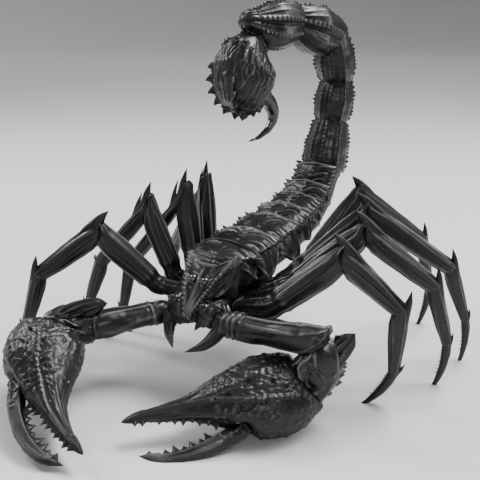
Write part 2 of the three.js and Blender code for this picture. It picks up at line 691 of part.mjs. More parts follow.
function addPedipalp(name, side) {
  const arm = PEDIPALPS[name];
  const [shoulder, elbow, wrist] = [arm.shoulder, arm.elbow, arm.wrist].map((p) => vec(...p));
  const upper = towards(shoulder, elbow);
  const fore = towards(elbow, wrist);
  const elbowFace = meetingPlane(elbow, upper, fore);
  const wristFace = meetingPlane(wrist, fore, handAim(arm, side));
  const bend = upper.clone().cross(fore).normalize();
  const outside = vec(...arm.spurSide).normalize();
  const upperArm = (grow) => tapered({
    centres: [0, 0.2, 0.45, 0.8, 1].map((t) => between(shoulder, elbow, t)),
    halfWidths: [3.2, 3.8, 3.5, 3.9, 3.8].map((size) => size + grow),
    halfHeights: [3.6, 4.4, 4.1, 4.7, 4.5].map((size) => size + grow),
    across: bend,
    sides: 10,
    keel: 0.05,
    startFace: { point: vec(side * (COXAE_HALF_WIDTH + 1), 0, 0), normal: vec(side, 0, 0) },
    endFace: carvingFace(elbowFace, grow),
  });
  const forearm = (grow) => tapered({
    centres: [0, 0.25, 0.5, 0.75, 1].map((t) => between(elbow, wrist, t)),
    halfWidths: [4.4, 5.4, 5.8, 5.6, 4.8].map((size) => size + grow),
    halfHeights: [5.0, 6.6, 7.2, 6.8, 5.4].map((size) => size + grow),
    across: bend,
    sides: 12,
    keel: 0.05,
    startFace: elbowFace,
    endFace: carvingFace(wristFace, grow),
  });
  const spurPoints = arm.spur.map(([ahead, out]) => offset(elbow, [fore, ahead], [outside, out]));
  const spur = horn(spurPoints, 2.0, { steps: 4 });
  const palm = shaped(
    handBody(arm, side, wristFace),
    fixedTeeth(arm, side),
    [movableFinger(arm, side, GAP), forearm(GAP)],
  );
  addPiece(`pedipalp_${name}_femur`, upperArm(0));
  addPiece(`pedipalp_${name}_patella`, shaped(forearm(0), [spur], [upperArm(GAP)]));
  addPiece(`pedipalp_${name}_hand`, onFloor(palm));
  addPiece(`pedipalp_${name}_finger`, onFloor(shaped(movableFinger(arm, side), movableTeeth(arm, side))));
}

// ---------------------------------------------------------------- legs

// A spine that rises from a segment's root and points back over the joint before it.
function jointSpine(joint, before, along, across, halfHeight, size) {
  const dorsal = dorsalOf(along, across);
  const face = meetingPlane(joint, before, along).normal;
  const slope = Math.tan(Math.acos(THREE.MathUtils.clamp(along.dot(face), -1, 1)));
  const overhang = Math.min(SLIDE_CAP, halfHeight * slope);
  const radius = size * 0.27;
  return horn([
    offset(joint, [along, size * 0.5], [dorsal, halfHeight * 0.5]),
    offset(joint, [along, -overhang - 0.1], [dorsal, halfHeight + radius * 0.85]),
    offset(joint, [along, -size * 1.3], [dorsal, halfHeight * 0.6 + size * 0.24]),
  ], radius, { sides: 4, steps: 2, tipRadius: 0.2, across });
}

function addLeg(name, side, pair) {
  const { femur, patella, tibia, girth } = LEG_LENGTHS[pair];
  const pose = LEG_POSES[name][pair];
  const yaw = radians(pose.yaw);
  const outward = vec(side * Math.cos(yaw), Math.sin(yaw), 0);
  const across = outward.clone().cross(vec(0, 0, 1));
  const heading = (pitch) => offset(vec(0, 0, 0),
    [outward, Math.cos(radians(pitch))], [vec(0, 0, 1), Math.sin(radians(pitch))]);
  const root = vec(side * pose.root[0], pose.root[1], pose.root[2]);
  const hip = vec(side * COXAE_HALF_WIDTH, HIP_Y[pair], HIP_Z);
  const upperRun = heading(pose.femur);
  const middleRun = heading(pose.patella);
  const lowerRun = heading(pose.tibia);
  const footRun = heading(pose.tarsus);
  const knee = offset(root, [upperRun, femur]);
  const ankle = offset(knee, [middleRun, patella * PATELLA_REACH[name]]);
  const heel = offset(ankle, [lowerRun, tibia]);
  const toe = offset(heel, [footRun, heel.z / -footRun.z]);
  const kneeFace = meetingPlane(knee, upperRun, middleRun);
  const ankleFace = meetingPlane(ankle, middleRun, lowerRun);
  const heelFace = meetingPlane(heel, lowerRun, footRun);
  const sized = (sizes) => sizes.map((size) => size * girth);
  const label = `leg_${name}_${pair + 1}`;

  addPiece(`${label}_femur`, tapered({
    centres: [hip, between(hip, root, 0.5), root, ...[0.3, 0.7, 1].map((t) => between(root, knee, t))],
    halfWidths: sized([2.0, 2.4, 2.5, 2.7, 2.9, 2.6]),
    halfHeights: sized([2.5, 2.9, 3.1, 3.6, 4.0, 3.4]),
    across,
    keel: 0.06,
    startFace: { point: vec(side * (COXAE_HALF_WIDTH + HALF_GAP), 0, 0), normal: vec(side, 0, 0) },
    endFace: kneeFace,
  }));
  const patellaBody = tapered({
    centres: [0, 0.2, 0.6, 1].map((t) => between(knee, ankle, t)),
    halfWidths: sized([2.4, 2.5, 2.3, 1.7]),
    halfHeights: sized([3.2, 3.4, 2.9, 2.2]),
    across,
    keel: 0.06,
    startFace: kneeFace,
    endFace: ankleFace,
  });
  const kneeSpine = jointSpine(knee, upperRun, middleRun, across, 3.2 * girth, 6.0);
  addPiece(`${label}_patella`, shaped(patellaBody, [kneeSpine]));
  const tibiaBody = tapered({
    centres: [0, 0.25, 0.65, 1].map((t) => between(ankle, heel, t)),
    halfWidths: sized([1.6, 1.7, 1.45, 1.15]),
    halfHeights: sized([2.3, 2.5, 2.0, 1.35]),
    across,
    keel: 0.06,
    startFace: ankleFace,
    endFace: heelFace,
  });
  const ankleSpine = jointSpine(ankle, middleRun, lowerRun, across, 2.2 * girth, 5.2);
  addPiece(`${label}_tibia`, shaped(tibiaBody, [ankleSpine]));
  const bow = dorsalOf(footRun, across).multiplyScalar(1.1);
  const footPoints = [0, 0.25, 0.55, 0.85, 1];
  const tarsusBody = tapered({
    centres: footPoints.map((t) => offset(between(heel, toe, t), [bow, 4 * t * (1 - t)])),
    halfWidths: sized([1.1, 1.2, 1.0, 0.7, 0.5]),
    halfHeights: sized([1.3, 1.45, 1.2, 0.8, 0.5]),
    across,
    startFace: heelFace,
    endFace: { point: vec(0, 0, -HALF_GAP), normal: vec(0, 0, -1) },
  });
  addPiece(`${label}_tarsus`, onFloor(tarsusBody));
}

// ---------------------------------------------------------------- assembly

addHead();
addTrunk();
addPectines();
addTail();
addTelson();
for (const [name, side] of [['left', LEFT], ['right', RIGHT]]) {
  addPedipalp(name, side);
  for (let pair = 0; pair < LEG_LENGTHS.length; pair++) addLeg(name, side, pair);
}

// The origin is on the floor under the middle of the whole animal's box.
const box = new THREE.Box3().setFromObject(model, true);
const middle = box.getCenter(vec(0, 0, 0));
model.position.set(-middle.x, -middle.y, 0);

export default model;
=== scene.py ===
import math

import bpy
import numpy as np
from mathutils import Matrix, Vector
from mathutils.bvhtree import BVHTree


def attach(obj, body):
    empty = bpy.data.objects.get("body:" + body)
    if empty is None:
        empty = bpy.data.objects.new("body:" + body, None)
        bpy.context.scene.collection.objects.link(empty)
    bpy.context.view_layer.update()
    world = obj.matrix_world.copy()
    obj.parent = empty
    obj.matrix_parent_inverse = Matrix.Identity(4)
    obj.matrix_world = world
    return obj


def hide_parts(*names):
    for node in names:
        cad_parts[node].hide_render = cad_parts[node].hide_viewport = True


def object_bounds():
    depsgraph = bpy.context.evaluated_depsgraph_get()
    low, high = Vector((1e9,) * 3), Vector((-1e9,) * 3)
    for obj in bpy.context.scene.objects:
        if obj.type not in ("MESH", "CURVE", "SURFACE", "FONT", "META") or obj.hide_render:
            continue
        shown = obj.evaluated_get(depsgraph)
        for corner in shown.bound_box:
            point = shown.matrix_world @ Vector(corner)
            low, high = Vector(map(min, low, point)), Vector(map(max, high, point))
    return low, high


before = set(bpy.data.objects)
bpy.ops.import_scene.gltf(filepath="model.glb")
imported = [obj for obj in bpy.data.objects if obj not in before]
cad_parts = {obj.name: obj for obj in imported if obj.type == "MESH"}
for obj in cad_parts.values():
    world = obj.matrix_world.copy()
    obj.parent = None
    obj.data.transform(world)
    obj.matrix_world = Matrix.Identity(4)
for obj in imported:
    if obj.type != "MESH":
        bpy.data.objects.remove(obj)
CAD_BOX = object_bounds()

# The looks of a black, heavy-clawed scorpion. Each plate and limb is felt out of its solid by rays from its
# middle line, drawn as a fine grid, and given its keels, beads, wrinkles, knobs, thorns and teeth there.
# Eyes, combs and thorns are drawn from the middles, ends and corners of their solids.
# Lengths are millimetres until a mesh is made. Directions are those of the frame: +Z up, -Y ahead.
# Each noise, grain and scatter of knobs has a whole number as its seed, so every run makes the same animal.

MM = 0.001
FINE = 0.3  # the usual spacing of a grid
SIDES = {"left": 1, "right": -1}
X, Y, Z = np.eye(3)
TURN = 2 * math.pi
DORSAL = math.pi / 2  # the angle round a middle line at which its back lies

SEGMENTS = ("femur", "patella", "tibia", "tarsus")
TRUNK = [f"mesosoma_{i}" for i in range(1, 8)]
TAIL = [f"metasoma_{i}" for i in range(1, 6)]

# The angle of each keel on a leg and its height, and how strong they are on each segment.
LEG_KEELS = ((0.1, 0.2), (0.75, 0.34), (DORSAL, 0.55), (2.4, 0.34), (3.1, 0.2), (-0.6, 0.3), (-1.45, 0.34),
             (-2.4, 0.26))
LEG_STRENGTH = {"femur": 1.0, "patella": 1.0, "tibia": 0.85, "tarsus": 0.5}
UPPER_ARM_KEELS = ((0.5, 0.3), (1.35, 0.55), (2.3, 0.3), (3.5, 0.4), (4.7, 0.5), (5.6, 0.35))

# The angles of a tail segment's saw edges, two above and two below, and of its beaded keels.
TAIL_SAWS = (0.52, 2.62, 3.76, 5.66)
TAIL_BEADS = (1.25, 1.89, 4.35, 5.07)

# How far each flap hangs down, and the share of its length where it hangs the lowest.
FLAPS = ((7.0, 0.6), (9.5, 0.25), (10.5, 0.62), (8.0, 0.68), (5.5, 0.68), (4.0, 0.68))

BODY_BLACK = (0.0085, 0.0087, 0.0093, 1)
DEEP_BLACK = (0.0035, 0.0036, 0.004, 1)
# Painted shade, laid in the sunken furrows.
FURROW_SHADE_BLACK = (0.0018, 0.0018, 0.002, 1)
SOFT_BLACK = (0.006, 0.0055, 0.005, 1)
WARM_BLACK = (0.013, 0.0125, 0.012, 1)
STING_BLACK = (0.012, 0.0115, 0.011, 1)
SKIN_TONES = (0.004, 0.004, 0.0038, 1), (0.016, 0.014, 0.013, 1)
EYE_TONES = (0.002, 0.002, 0.003, 1), (0.012, 0.011, 0.012, 1)
# Painted highlights: the greys laid on keels, beads, teeth and rims that stand out.
PAINTED_HIGHLIGHT_GREY = (0.085, 0.087, 0.09, 1)
LEG_HIGHLIGHT_GREY = (0.15, 0.15, 0.155, 1)
STING_HIGHLIGHT_GREY = (0.04, 0.04, 0.04, 1)
FLOOR_TONES = (0.60, 0.60, 0.61, 1), (0.64, 0.64, 0.65, 1)
SKY_TONE = (0.92, 0.93, 0.95, 1)

# Each lamp's place from the animal's middle, its two sizes and its power. These are metres and watts.
LAMPS = {
    "key": ((0.1, 0.3, 0.6), (0.36, 0.22), 6.0),
    "side": ((-0.5, -0.1, 0.4), (0.12, 0.4), 3.0),
    "front": ((0.4, -0.5, 0.35), (0.2, 0.12), 1.1),
    "far_side": ((0.45, 0.38, 0.32), (0.12, 0.4), 1.5),
}
SKY_POWER = 1.7
SKY_SPREAD = math.radians(35)
SKY_LEAN = (math.radians(-22), math.radians(12), 0)
WORLD_STRENGTH = 0.29
FLOOR_RADIUS = 5.0  # metres
BACKDROP_HEIGHT = 5.0  # metres

CAMERA_AZIMUTH = math.radians(37)
CAMERA_ELEVATION = math.radians(18.5)
CAMERA_DISTANCE = 280
CAMERA_TARGET = (-38.39, 52.69, 25.5)
CAMERA_CLIP = (0.005, 20)  # metres
LENS = 48
SENSOR_WIDTH = 36


# ---------------------------------------------------------------- small mathematics

def unit(v):
    v = np.asarray(v, float)
    return v / np.maximum(np.linalg.norm(v, axis=-1, keepdims=True), 1e-9)


def ramp(x, low, high):
    """0 below low, 1 above high, and smooth between. Low may be the larger one."""
    t = np.clip((np.asarray(x, float) - low) / (high - low), 0, 1)
    return t * t * (3 - 2 * t)


def span(x, low, rise, fall, high):
    """1 from rise to fall, 0 below low and above high, and smooth between."""
    return ramp(x, low, rise) * ramp(x, high, fall)


def hump(x, middle, width):
    """A smooth hump of height 1."""
    return np.exp(-(((x - middle) / width) ** 2))


def wave(x):
    """A wave between 0 and 1 that is highest at each whole number."""
    return 0.5 + 0.5 * np.cos(TURN * x)


def toward(v, way):
    """A vector or its opposite, whichever points more to the given way."""
    return v if np.dot(v, way) > 0 else -v


def square(v, along):
    """The direction of what a vector has that is square to another direction."""
    return unit(v - along * np.dot(v, along))


def round_turns(count):
    """Evenly spaced angles round a full turn."""
    return TURN * np.arange(count) / count


def turn_from(turn, middle):
    """The signed angle from a direction, between minus and plus half a turn."""
    return (turn - middle + math.pi) % TURN - math.pi


def corner_value(cell, seed):
    """A repeatable number from -1 to 1 for each whole-number corner of space."""
    n = cell[..., 0] * 374761393 + cell[..., 1] * 668265263 + cell[..., 2] * 1440662683 + seed * 974634777
    n = (n ^ (n >> 13)) * 1274126177
    n = n ^ (n >> 16)
    return (n & 0xFFFFFF) / 0x7FFFFF - 1


def noise(points, size, seed):
    """Smooth lumps of about the given size, from -1 to 1."""
    q = points / size
    cell = np.floor(q).astype(np.int64)
    f = q - cell
    f = f * f * (3 - 2 * f)
    total = 0
    for dx in (0, 1):
        for dy in (0, 1):
            for dz in (0, 1):
                weight = np.abs(1 - dx - f[..., 0]) * np.abs(1 - dy - f[..., 1]) * np.abs(1 - dz - f[..., 2])
                total = total + weight * corner_value(cell + (dx, dy, dz), seed)
    return total


def blurred(grid, width, axis, round_trip):
    """A grid averaged along one axis. A round trip joins its end to its start."""
    if width <= 0:
        return grid
    reach = int(math.ceil(2.5 * width))
    steps = np.arange(-reach, reach + 1)
    weights = np.exp(-0.5 * (steps / width) ** 2)
    weights /= weights.sum()
    total = np.zeros_like(grid)
    count = grid.shape[axis]
    for step, weight in zip(steps, weights):
        index = np.arange(count) + step
        index = index % count if round_trip else np.clip(index, 0, count - 1)
        total += weight * np.take(grid, index, axis=axis)
    return total


def without_thorns(grid, reach):
    """A grid of radii less what stands out of it over only a few samples round or along."""
    count = len(grid)
    shifts = range(-reach, reach + 1)
    around = np.median([np.roll(grid, k, axis=1) for k in shifts], axis=0)
    beside = np.median([grid[np.clip(np.arange(count) + k, 0, count - 1)] for k in shifts], axis=0)
    return np.minimum(grid, np.maximum(around, beside) * 1.03)


def cubic(values, where):
    """Smooth values between evenly spaced samples. where counts in samples from the first one."""
    last = len(values) - 1
    base = np.clip(np.floor(where).astype(int), 0, last - 1)
    f = np.clip(where - base, 0, 1)
    f = f.reshape(f.shape + (1,) * (values.ndim - 1))
    a, b, c, d = (values[np.clip(base + k, 0, last)] for k in (-1, 0, 1, 2))
    return b + 0.5 * f * (c - a + f * (2 * a - 5 * b + 4 * c - d + f * (3 * (b - c) + d - a)))


def distances(line):
    """How far along a line of points each of them lies."""
    return np.concatenate([[0], np.cumsum(np.linalg.norm(np.diff(line[:, :3], axis=0), axis=1))])


def respaced(line, steps, count):
    """A line's columns read at evenly spaced distances."""
    places = np.linspace(0, steps[-1], count + 1)
    return np.stack([np.interp(places, steps, column) for column in line.T], axis=1)


def evenly(line, spacing):
    """A line's points respaced evenly along a smooth curve through them."""
    line = np.asarray(line, float)
    dense = cubic(line, np.linspace(0, len(line) - 1, 12 * len(line)))
    steps = distances(dense)
    return respaced(dense, steps, max(int(round(steps[-1] / spacing)), 4))


def fine_grid(radii, where, sides):
    """A grid of radii read between its rows and round its closed rings."""
    padded = np.concatenate([radii[:, -3:], radii, radii[:, :4]], axis=1)
    return cubic(cubic(padded, where).T, 3 + np.arange(sides) * radii.shape[1] / sides).T


# ---------------------------------------------------------------- reading the frame

class Solid:
    """A CAD node's corners and faces, with a tree that rays and distances are measured on."""

    def __init__(self, name):
        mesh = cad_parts[name].data
        self.points = np.array([v.co for v in mesh.vertices], float) / MM
        self.faces = [tuple(p.vertices) for p in mesh.polygons]
        self.tree = BVHTree.FromPolygons([Vector(p) for p in self.points], self.faces)
        self.low = self.points.min(0)
        self.high = self.points.max(0)
        self.middle = (self.low + self.high) / 2

    def end(self, direction, depth=0.4):
        """The middle of the corners that lie furthest one way."""
        reach = self.points @ np.asarray(direction, float)
        return self.points[reach > reach.max() - depth].mean(0)

    def reach(self, start, direction):
        """How far a ray goes before it meets the solid's wall."""
        hit = self.tree.ray_cast(Vector(start), Vector(direction))
        return hit[3] if hit[0] is not None else np.nan


solids = {}


def solid(name):
    """A node's solid, read from the frame once."""
    if name not in solids:
        solids[name] = Solid(name)
    return solids[name]


MIDDLE = float(solid("prosoma").middle[0])


def joint(name, neighbour, facing=None):
    """The middle and the direction of the face where a node meets its neighbour."""
    node = solid(name)
    other = solid(neighbour).tree
    middles, areas, normals = [], [], []
    for face in node.faces:
        a, b, c = node.points[list(face[:3])]
        middle = (a + b + c) / 3
        if other.find_nearest(Vector(middle), 0.7)[0] is None:
            continue
        normal = np.cross(b - a, c - a)
        if facing is not None and np.dot(unit(normal), facing) < 0.5:
            continue
        middles.append(middle)
        areas.append(np.linalg.norm(normal))
        normals.append(normal)
    areas = np.array(areas)
    centre = (np.array(middles) * areas[:, None]).sum(0) / areas.sum()
    return centre, unit(np.sum(normals, axis=0))


def joints_along(names):
    """Where each node of a chain meets the next one."""
    return [joint(before, after) for before, after in zip(names, names[1:])]


def sliced(name, start, stop):
    """The middle line of a bent solid, through the middles of its sections across one straight line."""
    count = 28
    node = solid(name)
    axis = unit(stop - start)
    corners = node.points[np.array([face[:3] for face in node.faces])]
    heights = (corners - start) @ axis
    line = [start]
    for level in np.linspace(0, np.linalg.norm(stop - start), count + 1)[1:-1]:
        above = heights > level
        cut = (above.sum(1) % 3) > 0
        lone = np.argmax(above[cut] == (above[cut].sum(1) == 1)[:, None], axis=1)
        rows = np.arange(len(lone))
        ends = []
        for k in (1, 2):
            a, b = corners[cut][rows, lone], corners[cut][rows, (lone + k) % 3]
            ha, hb = heights[cut][rows, lone], heights[cut][rows, (lone + k) % 3]
            ends.append(a + (b - a) * ((level - ha) / (hb - ha))[:, None])
        weight = np.linalg.norm(ends[0] - ends[1], axis=1)
        if weight.sum() > 0.5:
            line.append(((ends[0] + ends[1]) / 2 * weight[:, None]).sum(0) / weight.sum())
    line.append(stop)
    line = np.array(line)
    for _ in range(3):
        line[1:-1] = (line[:-2] + 2 * line[1:-1] + line[2:]) / 4
    return line


# ---------------------------------------------------------------- sleeves

def ring_directions(along, across, sides):
    """The ways out of a ring round a direction, with its across way first and its back a quarter turn on."""
    across = square(across, along)
    dorsal = np.cross(across, along)
    turns = round_turns(sides)
    return across, dorsal, np.outer(np.cos(turns), across) + np.outer(np.sin(turns), dorsal)


def trace(name, start, heading, stop, across, step=0.9):
    """The middle line of a bent solid, felt out step by step from its start to its stop.

    Each step goes to the middle of the wall that a ring of rays finds, and the way turns there slowly.
    """
    node = solid(name)
    along = unit(heading)
    line = [np.array(start, float)]
    while len(line) < 120:
        ahead = line[-1] + along * step
        if np.linalg.norm(stop - ahead) < 1.3 * step:
            break
        _, _, directions = ring_directions(along, across, 16)
        reach = np.array([node.reach(ahead, d) for d in directions])
        if np.isnan(reach).any():
            break
        reach = np.minimum(reach, 1.4 * np.median(reach))
        ahead = ahead + 1.4 * (directions * reach[:, None]).mean(0)
        along = unit(0.4 * along + 0.6 * unit(ahead - line[-1]))
        line.append(ahead)
    line.append(np.array(stop, float))
    line = np.array(line)
    line[1:-1] = (line[:-2] + 2 * line[1:-1] + line[2:]) / 4
    return line


class Sleeve:
    """A solid's wall as radii round its middle line, on rings that lean to meet its end faces."""

    def __init__(self, name, line, across, start=None, end=None, *, thorns, sides=40, spacing=0.8,
                 soften=(1.3, 1.2), lean=0.3, pointed=(0, 0), straight=0.0):
        """Start and end are the ways its end faces look. One that is None stays square to the line.

        Thorns is how many samples wide a thorn may be that is left out, 0 to leave out none. Soften blurs the
        radii round and along. Lean is the share of the length over which the rings lean, pointed the length
        over which each end narrows, and straight how far the rings keep to the line between the two ends.
        """
        node = solid(name)
        self.line = evenly(line, spacing)
        count = len(self.line)
        share = np.linspace(0, 1, count)
        chord = unit(self.line[-1] - self.line[0])
        self.along = unit(unit(np.gradient(self.line, axis=0)) * (1 - straight) + chord * straight)
        for normal, weight in ((start, ramp(share, lean, 0)), (end, ramp(share, 1 - lean, 1))):
            if normal is not None:
                self.along = unit(self.along * (1 - weight[:, None]) + normal * weight[:, None])
        self.across = np.empty((count, 3))
        self.dorsal = np.empty((count, 3))
        radii = np.empty((count, sides))
        inward = 0.04 * (self.line[-1] - self.line[0])
        for i, centre in enumerate(self.line):
            self.across[i], self.dorsal[i], directions = ring_directions(self.along[i], across, sides)
            nudge = inward * (1 - 2 * share[i])
            radii[i] = [node.reach(centre + nudge, d) for d in directions]
        for row in radii:
            row[np.isnan(row)] = np.nanmedian(row) if not np.isnan(row).all() else 0.3
        if thorns:
            radii = without_thorns(radii, thorns)
        radii = blurred(blurred(radii, soften[0], 1, True), soften[1], 0, False)
        self.radii = radii
        self.taper(pointed[0], np.arange(count))
        self.taper(pointed[1], np.arange(count)[::-1])
        self.length = distances(self.line)[-1]

    def taper(self, reach, order):
        """Draws one end to a point over the given length."""
        if not reach:
            return
        gap = np.linalg.norm(self.line[order] - self.line[order[0]], axis=1)
        base = order[np.argmax(gap >= reach)]
        for row, distance in zip(order, gap):
            if distance < reach:
                self.radii[row] = self.radii[base] * (distance / reach) ** 0.7 + 0.06

    def site(self, fine=FINE):
        """The sleeve on a fine grid, with what the reliefs need to know of each place."""
        rows = max(int(self.length / fine), 12)
        sides = max(int(TURN * np.percentile(self.radii, 75) / fine), 24)
        where = np.linspace(0, len(self.line) - 1, rows + 1)
        across = unit(cubic(self.across, where))
        dorsal = unit(cubic(self.dorsal, where))
        return Site(cubic(self.line, where), across, dorsal, fine_grid(self.radii, where, sides), self.length)


class Site:
    """The places of a fine grid: turn round the middle line, share t and distance s along it.

    Its swell is added to the shape only, a relief also to the painted highlight and painted shade of its
    colour. Soft is 1 where skin lies between plates.
    """

    def __init__(self, line, across, dorsal, radii, length, flat=1.0):
        rows, sides = radii.shape
        self.turn = np.broadcast_to(round_turns(sides), (rows, sides))
        self.t = np.broadcast_to(np.linspace(0, 1, rows)[:, None], (rows, sides))
        self.s = self.t * length
        self.length = length
        self.radius = radii
        self.line = line
        self.along = unit(np.gradient(line, axis=0))
        spoke = (flat * np.cos(self.turn)[..., None] * across[:, None]
                 + np.sin(self.turn)[..., None] * dorsal[:, None])
        self.out = unit(spoke)
        self.points = line[:, None] + spoke * radii[..., None]
        self.across = np.cos(self.turn) * radii
        self.soft = np.zeros_like(radii)
        self.swell = np.zeros_like(radii)

    def nearest(self, point):
        """The row and column of the grid place that lies nearest to a point."""
        return divmod(np.argmin(((self.points - point) ** 2).sum(-1)), self.turn.shape[1])

    def row(self, share):
        """The row at a share of the length."""
        return int(share * (len(self.line) - 1))

    def column(self, turn):
        """The column at an angle round the middle line."""
        sides = self.turn.shape[1]
        return int(round(turn / TURN * sides)) % sides

    def stand(self, row, column):
        """A place on the raised skin, the way out of it and the way along the piece."""
        return self.top[row, column], self.out[row, column], self.along[row]

    def bare(self, row, column):
        """The same for a place on the grid before it is raised."""
        return self.points[row, column], self.out[row, column], self.along[row]

    def tips(self, name, least, apart, from_t=0.0):
        """Where the solid's thorns end: corners that stand out of the smoothed wall, one for each thorn."""
        coarse = self.points[::3, ::3].reshape(-1, 3)
        outs = self.out[::3, ::3].reshape(-1, 3)
        shares = self.t[::3, ::3].reshape(-1)
        corners = solid(name).points
        near = np.array([np.argmin(((coarse - corner) ** 2).sum(1)) for corner in corners])
        heights = ((corners - coarse[near]) * outs[near]).sum(1)
        kept = []
        for k in np.argsort(-heights):
            if heights[k] < least:
                break
            if shares[near[k]] < from_t:
                continue
            if all(np.linalg.norm(corners[k] - tip) > apart for tip, _, _ in kept):
                kept.append((corners[k], coarse[near[k]], outs[near[k]]))
        return kept

    def facing(self, row, direction):
        """The column whose way out is nearest to a direction."""
        return int(np.argmax(self.out[row] @ direction))


def drawn(points, radii, across, fine=FINE, flat=1.0):
    """A site round a curve through a few points, with a radius given at each of them."""
    stations = np.column_stack([np.asarray(points, float), radii])
    dense = cubic(stations, np.linspace(0, len(stations) - 1, 14 * len(stations)))
    steps = distances(dense)
    even = respaced(dense, steps, max(int(steps[-1] / fine), 12))
    line, size = even[:, :3], even[:, 3]
    sides = max(int(TURN * size.max() / fine), 12)
    along = unit(np.gradient(line, axis=0))
    side = unit(across - along * (along @ across)[:, None])
    dorsal = np.cross(side, along)
    return Site(line, side, dorsal, np.repeat(size[:, None], sides, axis=1), steps[-1], flat)


def globe(name, hub, pole, across, fine, thorns):
    """A round solid's wall, felt out from one hub, from the pole over to the far side."""
    node = solid(name)
    pole = unit(pole)
    across, dorsal, _ = ring_directions(-pole, across, 4)
    tilts = np.linspace(0.07, math.pi - 0.07, 36)
    turns = round_turns(56)
    radii = np.empty((len(tilts), len(turns)))
    for i, tilt in enumerate(tilts):
        for k, turn in enumerate(turns):
            level = across * math.cos(turn) + dorsal * math.sin(turn)
            radii[i, k] = node.reach(hub, pole * math.cos(tilt) + level * math.sin(tilt))
    radii = without_thorns(radii, thorns)
    radii = blurred(blurred(radii, 1.2, 1, True), 1.0, 0, False)
    length = math.pi * np.median(radii)
    rows = int(length / fine)
    where = np.linspace(0, len(tilts) - 1, rows)
    radii = fine_grid(radii, where, int(TURN * np.median(radii) / fine))
    tilt = np.interp(where, np.arange(len(tilts)), tilts)[:, None]
    line = hub + np.cos(tilt) * radii.mean(1)[:, None] * pole
    site = Site(line, np.repeat(across[None], rows, 0), np.repeat(dorsal[None], rows, 0),
                radii * np.sin(tilt), length)
    spokes = site.out * np.sin(tilt)[..., None] + pole * np.cos(tilt)[..., None]
    site.points = hub + spokes * radii[..., None]
    site.out = spokes
    return site


# ---------------------------------------------------------------- reliefs

def keel(site, turn, width, height):
    """A smooth ridge that runs along the piece at one angle. Its width is in millimetres."""
    return height * hump(turn_from(site.turn, turn) * site.radius, 0, width)


def keels(site, turns, width, height, sway=0.0, rate=4.0, step=2.0):
    """Keels alike in size at several angles. Each sways about its own, a step out of time with the last."""
    total = 0
    for k, turn in enumerate(turns):
        total += keel(site, turn + sway * np.sin(site.t * rate + step * k), width, height)
    return total


def beads(site, turn, width, height, pitch, low, high, lean=0.0):
    """A row of beads along the piece. A lean makes them teeth that point to its far end."""
    phase = (site.s / pitch) % 1
    tooth = np.where(phase < 0.5 + lean, phase / (0.5 + lean), (1 - phase) / (0.5 - lean))
    shape = tooth ** 1.3 * (0.8 + 0.2 * noise(site.points, 2.3, 7))
    return keel(site, turn, width, height) * shape * span(site.t, low, low + 0.04, high - 0.04, high)


def grain(site, along, across, height, seed):
    """Fine furrows that run along the piece."""
    turn = np.stack([np.cos(site.turn), np.sin(site.turn)], -1) * np.median(site.radius) / across
    place = np.concatenate([turn, (site.s / along)[..., None]], -1)
    return height * (noise(place, 1.0, seed) + 0.5 * noise(place * 2.1, 1.0, seed + 1))


def folds(site, pitch, height, high, seed):
    """Rings of folded skin round a joint, from the near end to a share of the length."""
    rings = wave(site.s / pitch + 0.35 * noise(site.points, 3.0, seed)) ** 1.5 - 0.5
    return height * rings * ramp(site.t, high, high - 0.08)


def rims(site, base, rim):
    """A narrow base that tucks into the piece before, and a raised rim round the far end."""
    tucked = -base * ramp(site.s, 1.4, 0)
    collar = rim * hump(site.s, site.length - 0.7, 0.55) - 0.5 * rim * hump(site.s, site.length - 2.0, 0.5)
    return tucked + collar


def knobs(site, count, sizes, height, seed, mask=None, stretch=1.0):
    """Tubercles scattered over the surface where the mask allows, stretched along the piece."""
    draw = np.random.default_rng(seed)
    rows, sides = site.radius.shape
    chance = site.radius * (1 if mask is None else np.clip(mask, 0, 1))
    picks = draw.choice(rows * sides, size=count * 3, p=(chance / chance.sum()).reshape(-1))
    step = site.length / rows
    total = np.zeros((rows, sides))
    made = 0
    for pick, size in zip(picks, draw.uniform(*sizes, size=len(picks))):
        row, column = divmod(pick, sides)
        if made == count or total[row, column] > 0.1 * height * size:
            continue
        made += 1
        reach = int(size * stretch / step) + 2
        aside = min(int(size * sides / (TURN * max(site.radius[row, column], 0.3))) + 2, sides // 2 - 1)
        block = np.ix_(np.arange(max(row - reach, 0), min(row + reach + 1, rows)),
                       np.arange(column - aside, column + aside + 1) % sides)
        away = site.points[block] - site.points[row, column]
        away = away - (away @ site.along[row])[..., None] * site.along[row] * (1 - 1 / stretch)
        distance = np.linalg.norm(away, axis=-1) / size
        total[block] = np.maximum(total[block], height * size * np.clip(1 - distance ** 2, 0, 1) ** 1.3)
    return total


# ---------------------------------------------------------------- meshes

def faces_inward(rows):
    """Whether a tube of rings would have its faces look inward, by the sign of its volume."""
    rows = rows - rows.mean((0, 1))
    turned = np.roll(rows, -1, axis=1)
    return (rows[:-1] * np.cross(turned[:-1], rows[1:])).sum() < 0


